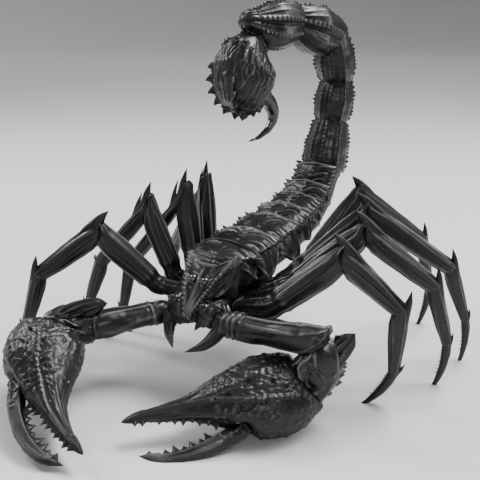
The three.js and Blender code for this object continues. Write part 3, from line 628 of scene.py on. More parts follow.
class Shape:
    """Closed skins in millimetres, gathered to become one mesh."""

    MAP_TOP = 0.94  # how much of the map's height the sleeves take
    PATCHES = 40  # how many patches lie side by side in the strip above them
    STRIPS = 3
    DOME_ANGLES = (0.45, 0.85, 1.2, 1.45)
    DOME_MARKS = np.array([0.6, 0.3, 0.1, 0.0])[:, None]  # how the relief's painted highlight and painted shade fade over a dome

    def __init__(self):
        self.points, self.relief, self.soft = [], [], []
        self.corners, self.sizes, self.map = [], [], []
        self.count = 0
        self.patches = 0

    def skin(self, rows, relief=None, soft=None, patch=True):
        """A tube of rings that is closed by a pole at both ends. A patch gets a small place on the map."""
        count, sides = rows.shape[:2]
        relief = np.zeros((count, sides)) if relief is None else relief
        soft = np.zeros((count, sides)) if soft is None else soft
        if faces_inward(rows):
            rows, relief, soft = rows[:, ::-1], relief[:, ::-1], soft[:, ::-1]
        poles = [rows[0].mean(0), rows[-1].mean(0)]
        self.points += [rows.reshape(-1, 3), np.array(poles)]
        self.relief += [relief.reshape(-1), np.array([relief[0].mean(), relief[-1].mean()])]
        self.soft += [soft.reshape(-1), np.array([soft[0].mean(), soft[-1].mean()])]
        v = np.linspace(0.02, 0.98, count)
        u = np.arange(sides + 1) / sides
        r, c = np.meshgrid(np.arange(count - 1), np.arange(sides), indexing="ij")
        r, c = r[..., None] + (0, 0, 1, 1), c[..., None] + (0, 1, 1, 0)
        quads = r * sides + c % sides
        maps = [np.stack([u[c], v[r]], -1).reshape(-1, 2)]
        k = np.arange(sides)
        caps = []
        for pole, row, pair, at in ((0, 0, (1, 0), 0.0), (1, count - 1, (0, 1), 1.0)):
            near = k[:, None] + pair
            caps.append(np.column_stack([np.full(sides, count * sides + pole), row * sides + near % sides]))
            across = np.column_stack([(u[k] + u[k + 1]) / 2, u[near]])
            up = np.broadcast_to((at, v[row], v[row]), across.shape)
            maps.append(np.stack([across, up], -1).reshape(-1, 2))
        caps = np.concatenate(caps)
        self.corners += [(quads.reshape(-1) + self.count), (caps.reshape(-1) + self.count)]
        self.sizes += [np.full(quads.size // 4, 4), np.full(len(caps), 3)]
        self.map.append(self.placed(np.concatenate(maps), patch))
        self.count += count * sides + 2

    def placed(self, flat, patch):
        """A skin's own map, moved to its place on the mesh's map."""
        if not patch:
            return flat * (1, self.MAP_TOP)
        column = self.patches % self.PATCHES
        row = self.patches // self.PATCHES % self.STRIPS
        self.patches += 1
        size = (1 - self.MAP_TOP) / self.STRIPS
        corner = np.array([column / self.PATCHES, self.MAP_TOP + row * size])
        return corner + flat * (0.9 / self.PATCHES, 0.9 * size) + 0.05 * size

    def sleeve(self, site, relief, dome, patch=False):
        """A sleeve raised by its swell and its relief, with a dome of the given height over each end."""
        rows = site.points + site.out * (site.swell + relief)[..., None]
        site.top = rows
        marks = relief
        soft = site.soft
        for end, bulge in ((0, -dome[0]), (-1, dome[1])):
            edge = rows[end]
            middle = edge.mean(0)
            normal = unit(np.cross(edge - middle, np.roll(edge, -1, 0) - middle).sum(0))
            lift = toward(normal, site.along[end]) * bulge
            caps = [middle + (edge - middle) * math.cos(angle) + lift * math.sin(angle)
                    for angle in self.DOME_ANGLES]
            cap_marks = np.repeat(marks[end][None], len(caps), 0) * self.DOME_MARKS
            cap_soft = np.repeat(soft[end][None], len(caps), 0)
            if end == 0:
                rows = np.concatenate([caps[::-1], rows])
                marks = np.concatenate([cap_marks[::-1], marks])
                soft = np.concatenate([cap_soft, soft])
            else:
                rows = np.concatenate([rows, caps])
                marks = np.concatenate([marks, cap_marks])
                soft = np.concatenate([soft, cap_soft])
        self.skin(rows, marks, soft, patch)

    def horn(self, points, radius, tip, sides, steps, power=1.0):
        """A curved, tapering horn through a few points."""
        points = np.array(points, float)
        line = cubic(points, np.linspace(0, len(points) - 1, steps + 1))
        along = unit(np.gradient(line, axis=0))
        across = X if abs(along[0][0]) < 0.7 else Y
        rows, marks = [], []
        for i in range(steps + 1):
            t = i / steps
            ring = ring_directions(along[i], across, sides)[2]
            rows.append(line[i] + ring * (tip + (radius - tip) * (1 - t) ** power))
            # The marks grow toward the tip, where they lay a painted highlight.
            marks.append(np.full(sides, 0.25 * t))
        self.skin(np.array(rows), np.array(marks))

    def tooth(self, root, out, along, height, length, width, lean, sides=10):
        """A broad-based tooth whose tip leans along its row."""
        tip = root + out * height + along * lean * height
        turns = round_turns(sides)
        ring = (np.outer(np.cos(turns) * length / 2, along)
                + np.outer(np.sin(turns) * width / 2, np.cross(along, out)))
        rows, marks = [], []
        for t in np.linspace(0, 1, 8):
            middle = root - out * height * 0.25 * (1 - t) + (tip - root) * t ** 0.9
            rows.append(middle + ring * ((1 - t) ** 1.25 + 0.05))
            # The marks grow toward the tip, where they lay a painted highlight.
            marks.append(np.full(sides, 0.1 + 0.35 * t))
        self.skin(np.array(rows), np.array(marks))

    def ball(self, middle, radius, out, flat=1.0, sides=24):
        """A ball, or a dome where flat is under 1."""
        out = unit(out)
        side = unit(np.cross(out, Z if abs(out[2]) < 0.9 else X))
        turns = round_turns(sides)
        ring = np.outer(np.cos(turns), side) + np.outer(np.sin(turns), np.cross(out, side))
        rows = []
        for angle in np.linspace(-1.45, 1.45, 16):
            rows.append(middle + ring * radius * math.cos(angle) + out * radius * flat * math.sin(angle))
        self.skin(np.array(rows))

    def mesh(self, name):
        """The skins as one Blender mesh in metres, kept above the floor, with its map and its two marks."""
        mesh = bpy.data.meshes.new(name)
        points = np.concatenate(self.points) * MM
        points[:, 2] = np.maximum(points[:, 2], 0)
        corners = np.concatenate(self.corners).astype(np.int32)
        sizes = np.concatenate(self.sizes).astype(np.int32)
        mesh.vertices.add(len(points))
        mesh.vertices.foreach_set("co", points.astype(np.float32).ravel())
        mesh.loops.add(len(corners))
        mesh.loops.foreach_set("vertex_index", corners)
        mesh.polygons.add(len(sizes))
        mesh.polygons.foreach_set("loop_start", np.concatenate([[0], np.cumsum(sizes)[:-1]]).astype(np.int32))
        mesh.polygons.foreach_set("use_smooth", np.ones(len(sizes), bool))
        uv = mesh.uv_layers.new(name="OFBake")
        uv.data.foreach_set("uv", np.concatenate(self.map).astype(np.float32).ravel())
        for label, values in (("relief", self.relief), ("soft", self.soft)):
            layer = mesh.attributes.new(label, "FLOAT", "POINT")
            layer.data.foreach_set("value", np.concatenate(values).astype(np.float32))
        mesh.update(calc_edges=True)
        mesh.validate()
        return mesh


def place(name, shape, material, slot, *nodes):
    """Makes the piece, lets it ride with the animal and stand for its solids."""
    piece = in_scene(name, shape.mesh(name))
    piece.data.materials.append(material)
    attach(piece, "root")
    if nodes:
        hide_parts(*nodes)


# ---------------------------------------------------------------- materials

class Look:
    """A node material. Its calls add one node each and hand back the socket that goes on."""

    def __init__(self, name):
        self.material = bpy.data.materials.new(name)
        self.material.use_nodes = True
        self.tree = self.material.node_tree
        self.shader = self.tree.nodes["Principled BSDF"]
        place = self.node("ShaderNodeTexCoord")
        self.place = place.outputs["Object"]

    def node(self, kind, **settings):
        node = self.tree.nodes.new(kind)
        for key, value in settings.items():
            setattr(node, key, value)
        return node

    def plug(self, value, socket):
        if isinstance(value, (int, float, tuple)):
            socket.default_value = value
        else:
            self.tree.links.new(value, socket)

    def mark(self, label):
        return self.node("ShaderNodeAttribute", attribute_name=label).outputs["Fac"]

    def noise(self, per_metre, detail):
        node = self.node("ShaderNodeTexNoise")
        self.plug(self.place, node.inputs["Vector"])
        self.plug(per_metre, node.inputs["Scale"])
        self.plug(detail, node.inputs["Detail"])
        self.plug(0.55, node.inputs["Roughness"])
        return node.outputs["Fac"]

    def cells(self, per_metre):
        node = self.node("ShaderNodeTexVoronoi", feature="F1")
        self.plug(self.place, node.inputs["Vector"])
        self.plug(per_metre, node.inputs["Scale"])
        return node.outputs["Distance"]

    def range(self, value, low, high, to_low=0.0, to_high=1.0):
        node = self.node("ShaderNodeMapRange")
        for socket, given in zip(node.inputs, (value, low, high, to_low, to_high)):
            self.plug(given, socket)
        return node.outputs["Result"]

    def sum(self, a, b, operation="ADD"):
        node = self.node("ShaderNodeMath", operation=operation)
        self.plug(a, node.inputs[0])
        self.plug(b, node.inputs[1])
        return node.outputs["Value"]

    def times(self, value, factor):
        return self.sum(value, factor, "MULTIPLY")

    def blend(self, share, a, b):
        node = self.node("ShaderNodeMix", data_type="RGBA")
        for socket, given in ((0, share), (6, a), (7, b)):
            self.plug(given, node.inputs[socket])
        return node.outputs[2]

    def bump(self, height, strength, distance):
        node = self.node("ShaderNodeBump")
        self.plug(strength, node.inputs["Strength"])
        self.plug(distance, node.inputs["Distance"])
        self.plug(height, node.inputs["Height"])
        self.plug(node.outputs["Normal"], self.shader.inputs["Normal"])

    def set(self, **sockets):
        """Gives the shader's sockets their values. A socket's name is written with _ for its space."""
        for name, value in sockets.items():
            self.plug(value, self.shader.inputs[name.replace("_", " ")])


def shell_look(name, rough, body=BODY_BLACK, painted_highlight=PAINTED_HIGHLIGHT_GREY, grit=0.00007, coat=0.15):
    """Polished black shell. Painted shade darkens it in the furrows, and a painted highlight greys what
    stands out.
    """
    look = Look(name)
    relief = look.mark("relief")
    soft = look.mark("soft")
    cloud = look.noise(160, detail=5)
    fine = look.noise(1400, detail=3)
    tone = look.blend(look.range(cloud, 0.35, 0.7), DEEP_BLACK, body)
    # Painted highlight: where the relief stands out, the colour turns grey.
    tone = look.blend(look.range(look.sum(relief, look.times(fine, 0.35)), 0.32, 0.85), tone, painted_highlight)
    # Painted shade: where the relief is sunken, the colour turns near black.
    tone = look.blend(look.range(relief, -0.05, -0.45, 0.0, 0.85), tone, FURROW_SHADE_BLACK)
    tone = look.blend(look.times(soft, 0.8), tone, SOFT_BLACK)
    look.set(Base_Color=tone, IOR=1.38, Coat_Weight=coat, Coat_Roughness=0.22)
    gloss = look.range(look.sum(cloud, look.times(fine, 0.5)), 0.5, 1.0, *rough)
    gloss = look.sum(gloss, look.range(relief, -0.4, 0.4, 0.14, -0.04))
    look.set(Roughness=look.sum(gloss, look.times(soft, 0.16)))
    pits = look.range(look.cells(2600), 0.0, 0.55)
    look.bump(look.sum(look.times(pits, 0.5), look.times(fine, 0.8)), 0.55, grit)
    return look.material


def eye_look():
    look = Look("eye_gloss")
    cloud = look.noise(600, detail=2)
    look.set(Base_Color=look.blend(cloud, *EYE_TONES), IOR=1.6, Coat_Weight=1.0, Coat_Roughness=0.03)
    look.set(Roughness=look.range(cloud, 0.3, 0.7, 0.05, 0.12))
    look.bump(look.noise(2500, detail=1), 0.1, 0.00003)
    return look.material


def skin_look():
    look = Look("joint_skin")
    cloud = look.noise(300, detail=4)
    look.set(Base_Color=look.blend(look.range(cloud, 0.3, 0.7), *SKIN_TONES), IOR=1.45)
    look.set(Roughness=look.range(cloud, 0.3, 0.7, 0.42, 0.62))
    look.bump(look.noise(1500, detail=4), 0.7, 0.00015)
    return look.material


def floor_look():
    look = Look("floor_pale")
    cloud = look.noise(3, detail=3)
    look.set(Base_Color=look.blend(cloud, *FLOOR_TONES))
    look.set(Roughness=look.range(cloud, 0, 1, 0.7, 0.8))
    return look.material


SHELL = shell_look("shell_black", (0.25, 0.44))
CLAW = shell_look("claw_black", (0.26, 0.44), coat=0.1)
LEG = shell_look("leg_black", (0.24, 0.42), painted_highlight=LEG_HIGHLIGHT_GREY)
JAW = shell_look("jaw_black", (0.22, 0.4), WARM_BLACK, coat=0.4)
STING = shell_look("sting_black", (0.14, 0.3), STING_BLACK, STING_HIGHLIGHT_GREY, grit=0.00003, coat=0.7)
EYE = eye_look()
SKIN = skin_look()


# ---------------------------------------------------------------- joint skins

joint_skins = Shape()


def skin_ball(middle, radius, along):
    """The soft skin that shows between two pieces at their joint."""
    joint_skins.ball(np.asarray(middle), radius, along, flat=0.9, sides=32)


# ---------------------------------------------------------------- legs

def leg_sleeve(name, line, across, start, end):
    """A leg segment's wall. Its section is as deep below the middle as above, which leaves the spine out."""
    sides = 36
    sleeve = Sleeve(name, line, across, start, end, sides=sides, thorns=0, soften=(1.0, 1.0))
    mirror = (-np.arange(sides)) % sides
    sleeve.radii = np.minimum(sleeve.radii, sleeve.radii[:, mirror])
    return sleeve


def leg_spine(shape, site, tip, across, back=0.0):
    """The blade that carries on a segment's upper edge to a tip past its joint. It may start further back."""
    steps = site.length / (len(site.line) - 1)
    spots = []
    for distance, depth in ((9.0, 0.25), (5.0, 0.55), (1.5, 0.72)):
        row = min(int((distance + back) / steps), len(site.line) - 1)
        column = site.facing(row, np.cross(across, site.along[row]))
        spots.append(site.line[row] * (1 - depth) + site.points[row, column] * depth)
    size = np.median(site.radius[int(3 / steps)]) * (1 - 0.09 * back)
    spots += [(spots[-1] + tip) / 2 + unit(np.cross(across, site.along[0])) * 0.25, tip]
    blade = drawn(spots, np.array([0.35, 0.62, 0.70, 0.42, 0.02]) * size, across, fine=0.28, flat=0.8)
    relief = 0.2 * grain(blade, 8, 1.0, 0.3, 17) + keel(blade, DORSAL, 0.35, 0.22) * (1 - blade.t)
    relief += keels(blade, (0.4, 2.7), 0.35, 0.16) * (1 - blade.t)
    shape.sleeve(blade, relief * ramp(blade.t, 1.0, 0.7), dome=(0.2, 0.03), patch=True)


def foot_spines(shape, site, across):
    """Short stiff spines in two rows along the underside of the foot."""
    for k in range(14):
        row = site.row(0.2 + 0.045 * k)
        down = -np.cross(across, site.along[row]) + across * (0.5 if k % 2 else -0.5)
        root, out, along = site.bare(row, site.facing(row, unit(down)))
        shape.horn([root - out * 0.2, root + out * 0.3 + along * 0.2, root + out * 0.6 + along * 0.6],
                   0.2, tip=0.05, sides=7, steps=6)


def leg_relief(site, segment, seed):
    """Long parallel keels, fine furrows and a folded root."""
    relief = grain(site, 18, 1.0, 0.10, seed) + 0.1 * noise(site.points, 4.5, seed + 4)
    for turn, size in LEG_KEELS:
        sway = 0.13 * np.sin(site.t * 4 + seed + 2 * turn)
        crest = keel(site, turn + sway, 0.4, size) - keel(site, turn + sway + 0.22, 0.4, 0.5 * size)
        relief += LEG_STRENGTH[segment] * crest * ramp(site.t, 0.0, 0.14)
    if segment == "femur":
        relief += folds(site, 2.6, 0.12, 0.3, seed) - 0.2 * site.radius * ramp(site.t, 0.86, 1.0)
        relief += 0.2 * hump(site.t, 0.37, 0.03) - 0.3 * hump(site.t, 0.32, 0.03)
    return relief


def make_leg(side_name, pair):
    """A leg's four segments with their blades and foot spines, and the skin at its joints."""
    side = SIDES[side_name]
    names = [f"leg_{side_name}_{pair}_{segment}" for segment in SEGMENTS]
    joints = [(solid(names[0]).end(-side * X), side * X)] + joints_along(names)
    foot = solid(names[3]).end(-Z, 0.05)
    outward = unit((joints[2][0] - joints[1][0]) * (1, 1, 0))
    across = np.cross(outward, Z)
    places = [middle for middle, _ in joints] + [foot]
    faces = [normal for _, normal in joints] + [None]
    for i, (name, segment) in enumerate(zip(names, SEGMENTS)):
        start, end = places[i], places[i + 1]
        if segment in ("femur", "tarsus"):
            heading = side * X if segment == "femur" else end - start
            line = trace(name, start, heading, end, across)
        else:
            line = np.linspace(start, end, 12)
        site = leg_sleeve(name, line, across, faces[i], faces[i + 1]).site(0.32)
        shape = Shape()
        shape.sleeve(site, leg_relief(site, segment, 10 * pair + i), dome=(1.4, 1.4))
        if segment == "tarsus":
            size = np.median(site.radius[2])
            tip = start - site.along[0] * 3.6 + np.cross(across, site.along[0]) * (size + 0.8)
            leg_spine(shape, site, tip, across)
            foot_spines(shape, site, across)
        elif segment != "femur":
            tip = site.tips(name, least=1.0, apart=6)[0][0]
            leg_spine(shape, site, tip, across)
            if segment == "patella":
                leg_spine(shape, site, tip + site.along[0] * 5.2, across, back=4.5)
        place(name.replace("leg", "shell_leg", 1), shape, LEG, "leg", name)
        if i > 0:
            skin_ball(start, 0.92 * site.radius[0, 0], faces[i])


# ---------------------------------------------------------------- tail

def tail_relief(site, index):
    """Saw-edged keels, wrinkled fields between them, and on the last two segments a hood over each flank."""
    relief = 0.10 * noise(site.points, 3.0, index) + grain(site, 3, 2.5, 0.06, 40 + index)
    hooded = index >= 4
    bulge = np.sin(math.pi * np.clip(site.t * 0.9 + 0.1, 0, 1))
    site.swell = 1.7 * bulge - 0.8 if hooded else 0.85 * bulge - 0.3
    for turn in TAIL_BEADS:
        height = 0.0 if hooded and turn > math.pi else 0.4
        relief += keel(site, turn, 0.7, 0.7 * height) * ramp(site.t, 0.03, 0.12)
        relief += beads(site, turn, 0.45, height, 1.7, lean=0.25, low=0.04, high=0.98)
    relief += keels(site, TAIL_SAWS[:2] if hooded else TAIL_SAWS, 0.8, 0.5) * ramp(site.t, 0.0, 0.1)
    if hooded:
        return relief + sum(tail_hood(site, turn, mirror) for turn, mirror in ((0, 1), (math.pi, -1)))
    relief += 0.05 * (0.5 + 0.5 * np.cos(site.s * 2.3 + 1.6 * noise(site.points, 3.6, 9)))
    # Most of this relief goes to the shape only, so less of it is painted as highlight.
    site.swell += 0.7 * relief
    return 0.3 * relief


def tail_hood(site, turn, mirror):
    """One flank of a hooded segment: two swollen fields, and a furrow, beads and ribs along it."""
    row = turn_from(site.turn, turn) * mirror + 0.1 - 0.2 * site.t
    hood = 0.75 * span(row, -1.5, -0.9, -0.06, 0.05) * hump(site.t, 0.5, 0.42)
    site.swell += hood + 0.6 * hump(row, 0.5, 0.27) * hump(site.t, 0.5, 0.36)
    relief = -0.6 * hump(row, 0.12, 0.08) * ramp(site.t, 0, 0.1)
    relief += 0.75 * wave(site.s / 1.7) * hump(row * site.radius, -0.55, 0.5) * ramp(site.t, 0.03, 0.1)
    bow = 1 + 0.5 * hump(site.t, 0.5, 0.4)
    for k in range(5):
        relief += 0.2 * hump((row + 0.2 + 0.22 * k * bow) * site.radius, 0, 0.32)
    return relief


def tail_teeth(shape, site, turns, pitch, height):
    """Saw teeth in rows along a tail segment. Each leans to the far end."""
    count = int(site.length / pitch)
    for turn in turns:
        column = site.column(turn)
        for k in range(count):
            size = height * (0.8 + 0.4 * math.sin(5.1 * k + 3 * turn))
            shape.tooth(*site.stand(site.row((k + 0.5) / count), column), size, pitch * 1.3, 0.9, lean=0.4)


def make_tail():
    """The five tail segments and their joint skins. Hands on where the bulb hangs from the last one."""
    spots = [joint(TAIL[0], TRUNK[-1])] + joints_along(TAIL + ["telson_vesicle"])
    for i, name in enumerate(TAIL):
        (start, start_face), (end, end_face) = spots[i], spots[i + 1]
        start_face = toward(start_face, end - start)
        level = unit(np.cross(X, end - start))
        across = toward(unit(np.cross(end - start, level)), X)
        last = i == len(TAIL) - 1
        if last:
            end, end_face = tail_end(name, start, end)
        sleeve = Sleeve(name, np.linspace(start, end, 12), across, start_face, end_face, thorns=0)
        site = sleeve.site()
        shape = Shape()
        shape.sleeve(site, tail_relief(site, i + 1), dome=(1.0, 4.2 if last else 1.0))
        turns = TAIL_SAWS if i < 3 else TAIL_SAWS[:2] + TAIL_BEADS[2:]
        tail_teeth(shape, site, turns, 1.45, 0.9)
        if last:
            rim_teeth(shape, site)
        place(f"shell_{name}", shape, SHELL, "shell", name)
        skin_ball(start, 0.88 * site.radius[0, 0], start_face)
    return spots[-1][0]


def tail_end(name, start, joint_at):
    """Where the last tail segment ends: its far face, above the bulb that hangs from it."""
    node = solid(name)
    heading = unit((joint_at - start) * (1, 1, 0.3))
    end = node.end(heading, 1.2)
    return end - unit(end - start) * 3.0, unit(end - start)


def rim_teeth(shape, site):
    """Teeth round the open end of the last tail segment."""
    for k in range(11):
        root, out, along = site.stand(len(site.line) - 2, site.column(3.3 + 0.28 * k))
        shape.tooth(root, unit(out + 0.5 * along), np.cross(along, out), 0.8, 1.5, 0.8, lean=0.0)


# ---------------------------------------------------------------- telson

def outermost(points, hub, least, apart):
    """The points that lie at least so far from a hub, farthest first and one for each place."""
    reach = np.linalg.norm(points - hub, axis=1)
    kept = []
    for k in np.argsort(-reach):
        if reach[k] < least:
            break
        if all(np.linalg.norm(points[k] - other) > apart for other in kept):
            kept.append(points[k])
    return kept


def make_telson(start):
    """The bulb that hangs at the tail's end, round all over and set with thorns, and its sting."""
    name = "telson_vesicle"
    node = solid(name)
    hub = node.middle
    across = toward(np.cross(Z, unit((hub - start) * (1, 1, 0))), X)
    site = globe(name, hub, start - hub, across, FINE, thorns=5)
    middle = span(site.t, 0.12, 0.35, 0.8, 1.0)
    relief = 0.08 * noise(site.points, 3.4, 5) + 0.08 * noise(site.points, 1.1, 6)
    count = 32
    for k in range(count):
        sway = 0.08 * np.sin(site.t * 13 + 2 * k) + 0.04 * np.sin(site.t * 29 + 5 * k)
        turn = TURN * k / count + 0.1 + sway
        crest = keel(site, turn, 0.4, 0.26 + 0.1 * math.sin(5 * k)) - keel(site, turn + 0.1, 0.36, 0.16)
        relief += crest * middle
    relief += knobs(site, 170, (0.26, 0.55), 0.6, 31, mask=middle, stretch=1.5)
    shape = Shape()
    shape.sleeve(site, relief, dome=(0.3, 0.3))
    for point in outermost(node.points, hub, 12.2, 1.6):
        telson_thorn(shape, site, hub, point, across)
    place(f"shell_{name}", shape, LEG, "shell", name)
    make_sting(node.end(-Z, 0.2))


def telson_thorn(shape, site, hub, point, across):
    """A ribbed thorn from the bulb's wall out to a point."""
    reach = unit(point - hub)
    root = site.points[site.nearest(point)]
    bend = unit(np.cross(np.cross(reach, Z), reach))
    spots = [root - reach * 1.2, root + reach * 0.3 + bend * 0.5, (root + point * 2) / 3 + bend * 0.35, point]
    thorn = drawn(spots, [2.2, 1.6, 0.7, 0.04], across, fine=0.34, flat=0.5)
    shape.sleeve(thorn, 0.12 * np.cos(thorn.turn * 7) * (1 - thorn.t), dome=(0.2, 0.03), patch=True)


def make_sting(bottom):
    """The curved sting, from the bulb's underside to its point."""
    name = "telson_sting"
    node = solid(name)
    tip = node.end(-Z, 0.3)
    start = node.end(Z, 0.8)
    across = unit(np.cross(start - tip, bottom - start))
    line = trace(name, start + unit(tip - start) * 0.8, bottom - start, tip, across, step=0.7)
    sleeve = Sleeve(name, line, across, sides=28, spacing=0.6, thorns=0, soften=(0.8, 1.2), pointed=(0, 2.5))
    site = sleeve.site(0.22)
    relief = 0.5 * grain(site, 9, 0.9, 0.12, 77) + keels(site, (0.9, 2.2, -0.6), 0.4, 0.25) * (1 - site.t)
    shape = Shape()
    shape.sleeve(site, relief * (1 - 0.8 * site.t), dome=(0.5, 0.05))
    place("shell_telson_sting", shape, STING, "sting", name)


# ---------------------------------------------------------------- trunk

def trunk_relief(site, index):
    """A back plate with swept ridges and a raised rear lip, pleated flanks and a belly plate."""
    edge = trunk_edge(site)
    off = np.abs(turn_from(site.turn, DORSAL))
    top = ramp(off, edge + 0.04, edge - 0.06)
    ax = np.abs(site.across)
    sweep = 1.7 * hump(ax, 0, 2.6) - 1.0 * hump(ax, 5.5, 2.6) + 1.1 * noise(site.points, 6.0, index)
    w = site.s + sweep * ramp(site.t, 1.0, 0.6)
    relief = 0.08 * noise(site.points, 2.4, index + 20)
    count = max(round(site.length / 3.2), 2)
    pitch = site.length / count
    broken = np.clip(0.55 + 1.1 * noise(site.points, 4.5, index + 40), 0.0, 1.3)
    for k in range(count):
        middle = pitch * (k + 0.35 + 0.15 * math.sin(3 * k + index))
        size = 0.6 + 0.25 * math.sin(2.1 * k + index)
        ridge = hump(w, middle, 0.6) - 0.7 * hump(w, middle + 1.0, 0.45)
        relief += top * size * broken * ridge * span(site.t, 0.0, 0.1, 0.78, 0.92)
        thin = hump(w, middle + 0.5 * pitch, 0.2) + hump(w, middle + 0.75 * pitch, 0.16)
        relief += top * 0.22 * thin * ramp(ax, 1.0, 3.0)
    relief += top * 0.9 * hump(site.s, site.length - 0.9 + 0.3 * sweep, 0.75)
    for k in (-1, 1):
        centre = DORSAL + 0.13 * k * np.cos(site.t * 6)
        relief += top * beads(site, centre, 0.55, 0.3, 2.1, lean=0.3, low=0.2, high=0.95)
    relief += keels(site, (DORSAL - edge, DORSAL + edge), 0.7, 0.4)
    flank = span(off, edge + 0.04, edge + 0.12, 2.15, 2.3)
    pleats = wave(site.s / 1.5 + 0.6 * noise(site.points, 3.2, index + 3))
    relief += flank * (0.45 * pleats - 0.5)
    relief += ramp(off, 2.3, 2.42) * (0.3 + 0.4 * hump(site.s, site.length - 0.8, 0.7))
    site.soft = flank * 0.9
    site.swell = top * (1.2 * ramp(site.t, 0.0, 0.9) - 0.75)
    return relief


def trunk_edge(site):
    """The angle from the top at which a back plate is widest."""
    rows = slice(len(site.line) // 4, -len(site.line) // 4)
    upper = (site.turn[0] > 0) & (site.turn[0] < DORSAL)
    widths = np.where(upper, site.across[rows].mean(0), 0)
    return DORSAL - site.turn[0][int(np.argmax(widths))]


def make_flap(shape, site, side, drop, peak, seed):
    """A fan-shaped plate that hangs under the edge of a back plate, with its corner low at the rear."""
    column = site.column(DORSAL - side * (trunk_edge(site) + 0.07))
    turns = round_turns(36)
    spread, thick = (1 - np.cos(turns)) / 2, np.sin(turns)
    rear = unit(site.line[-1] - site.line[0])
    lift = unit(side * X * 0.9 + Z * 0.42)
    border = 0.35 * hump(spread, 0.93, 0.07)
    rows, marks = [], []
    for u in np.linspace(0.0, 1.0, 40):
        root = site.points[site.row(0.01 + 0.97 * u), column] - side * X * 1.3
        if u < peak:
            reach = drop * (0.4 + 0.6 * math.sin(math.pi / 2 * u / peak) ** 1.5)
        else:
            reach = drop * (1.0 - 0.75 * ((u - peak) / (1 - peak)) ** 2.2)
        way = unit(side * X * 0.42 - Z * 0.9 + rear * 0.12 * u)
        ribs = 0.32 * np.cos(17 * u + 2.5 * spread + 2 * math.sin(seed)) * spread
        bulge = 0.5 * np.sin(math.pi * spread) * (1 - 0.4 * u)
        height = bulge + ribs + border + thick * 0.38
        rows.append(root + way * (spread * reach)[:, None] + lift * height[:, None])
        # The marks lay a painted highlight on the ribs and border, and painted shade between the ribs.
        marks.append(1.3 * ribs + border + 0.5 * ramp(spread, 0.8, 1.0) * ramp(u, 0.5, 0.8))
    shape.skin(np.array(rows), np.array(marks))


def make_trunk():
    """The seven plated rings of the trunk. All but the last carry a flap on each side."""
    spots = [joint(TRUNK[0], "prosoma", facing=-Y)] + joints_along(TRUNK + [TAIL[0]])
    for i, name in enumerate(TRUNK):
        (start, start_face), (end, end_face) = spots[i], spots[i + 1]
        start_face = toward(start_face, end - start)
        sleeve = Sleeve(name, np.linspace(start, end, 10), X, start_face, end_face, sides=96,
                        spacing=0.6, thorns=0, soften=(0.5, 1.2), lean=0.45)
        site = sleeve.site(0.25)
        shape = Shape()
        shape.sleeve(site, trunk_relief(site, i + 1), dome=(0.3, 0.3))
        edge_teeth(shape, site)
        if i < len(FLAPS):
            for side in SIDES.values():
                make_flap(shape, site, side, *FLAPS[i], i)
        place(f"shell_{name}", shape, SHELL, "shell", name)
        skin_ball(start, 0.8 * np.percentile(site.radius[0], 15), start_face)


def edge_teeth(shape, site):
    """The saw teeth of a back plate's side edges. They lean to the rear, and the last one is the largest."""
    count = max(int(round(site.length / 2.3)), 3)
    edge = trunk_edge(site)
    for turn in (DORSAL - edge, DORSAL + edge):
        for k in range(count):
            root, out, along = site.stand(site.row((k + 0.6) / count), site.column(turn))
            size = 2.1 if k == count - 1 else 1.45 * (0.9 + 0.25 * math.sin(4.3 * k))
            shape.tooth(root, unit(out * (1, 1, 0.4) + Z * 0.1), along, size, 2.5, 0.95, lean=0.5)


# ---------------------------------------------------------------- claw arms

def make_arm(side_name):
    """A claw arm: upper arm, forearm, hand and movable finger, and the skin at their joints."""
    side = SIDES[side_name]
    names = [f"pedipalp_{side_name}_{part}" for part in ("femur", "patella", "hand")]
    shoulder = solid(names[0]).end(-side * X, 0.5)
    (elbow, elbow_face), (wrist, wrist_face) = joints_along(names)
    bend = unit(np.cross(elbow - shoulder, wrist - elbow))
    make_upper_arm(side_name, shoulder, elbow, elbow_face, bend)
    make_forearm(side_name, elbow, elbow_face, wrist, wrist_face, bend)
    make_hand(side_name, wrist, wrist_face)
    make_finger(side_name)
    skin_ball(elbow, 3.9, elbow_face)
    skin_ball(wrist, 3.9, wrist_face)
    skin_ball(shoulder - side * X * 1.5, 3.0, X)


def make_upper_arm(side_name, shoulder, elbow, face, bend):
    """A strongly keeled upper arm with folded skin round its root."""
    name = f"pedipalp_{side_name}_femur"
    line = trace(name, shoulder, elbow - shoulder, elbow, bend)
    site = Sleeve(name, line, bend, None, face, thorns=0).site()
    site.swell = 0.5 * noise(site.points, 6.0, 52) + 0.15 * noise(site.points, 2.5, 53)
    relief = grain(site, 20, 2.0, 0.16, 51)
    middle = span(site.t, 0.12, 0.3, 0.85, 1.0)
    for turn, size in UPPER_ARM_KEELS:
        relief += keel(site, turn + 0.3 * np.sin(site.t * 3.2 + turn * 2), 0.6, size) * middle
    curl = site.s + 1.6 * np.sin(site.turn + 0.6) + 1.5 * noise(site.points, 3.6, 54)
    relief += 0.4 * wave(curl / 2.5) * ramp(curl, 9.0, 4.5) + rims(site, 0.1, 0.2)
    shape = Shape()
    shape.sleeve(site, relief, dome=(0.8, 0.6))
    place(f"shell_{name}", shape, LEG, "shell", name)


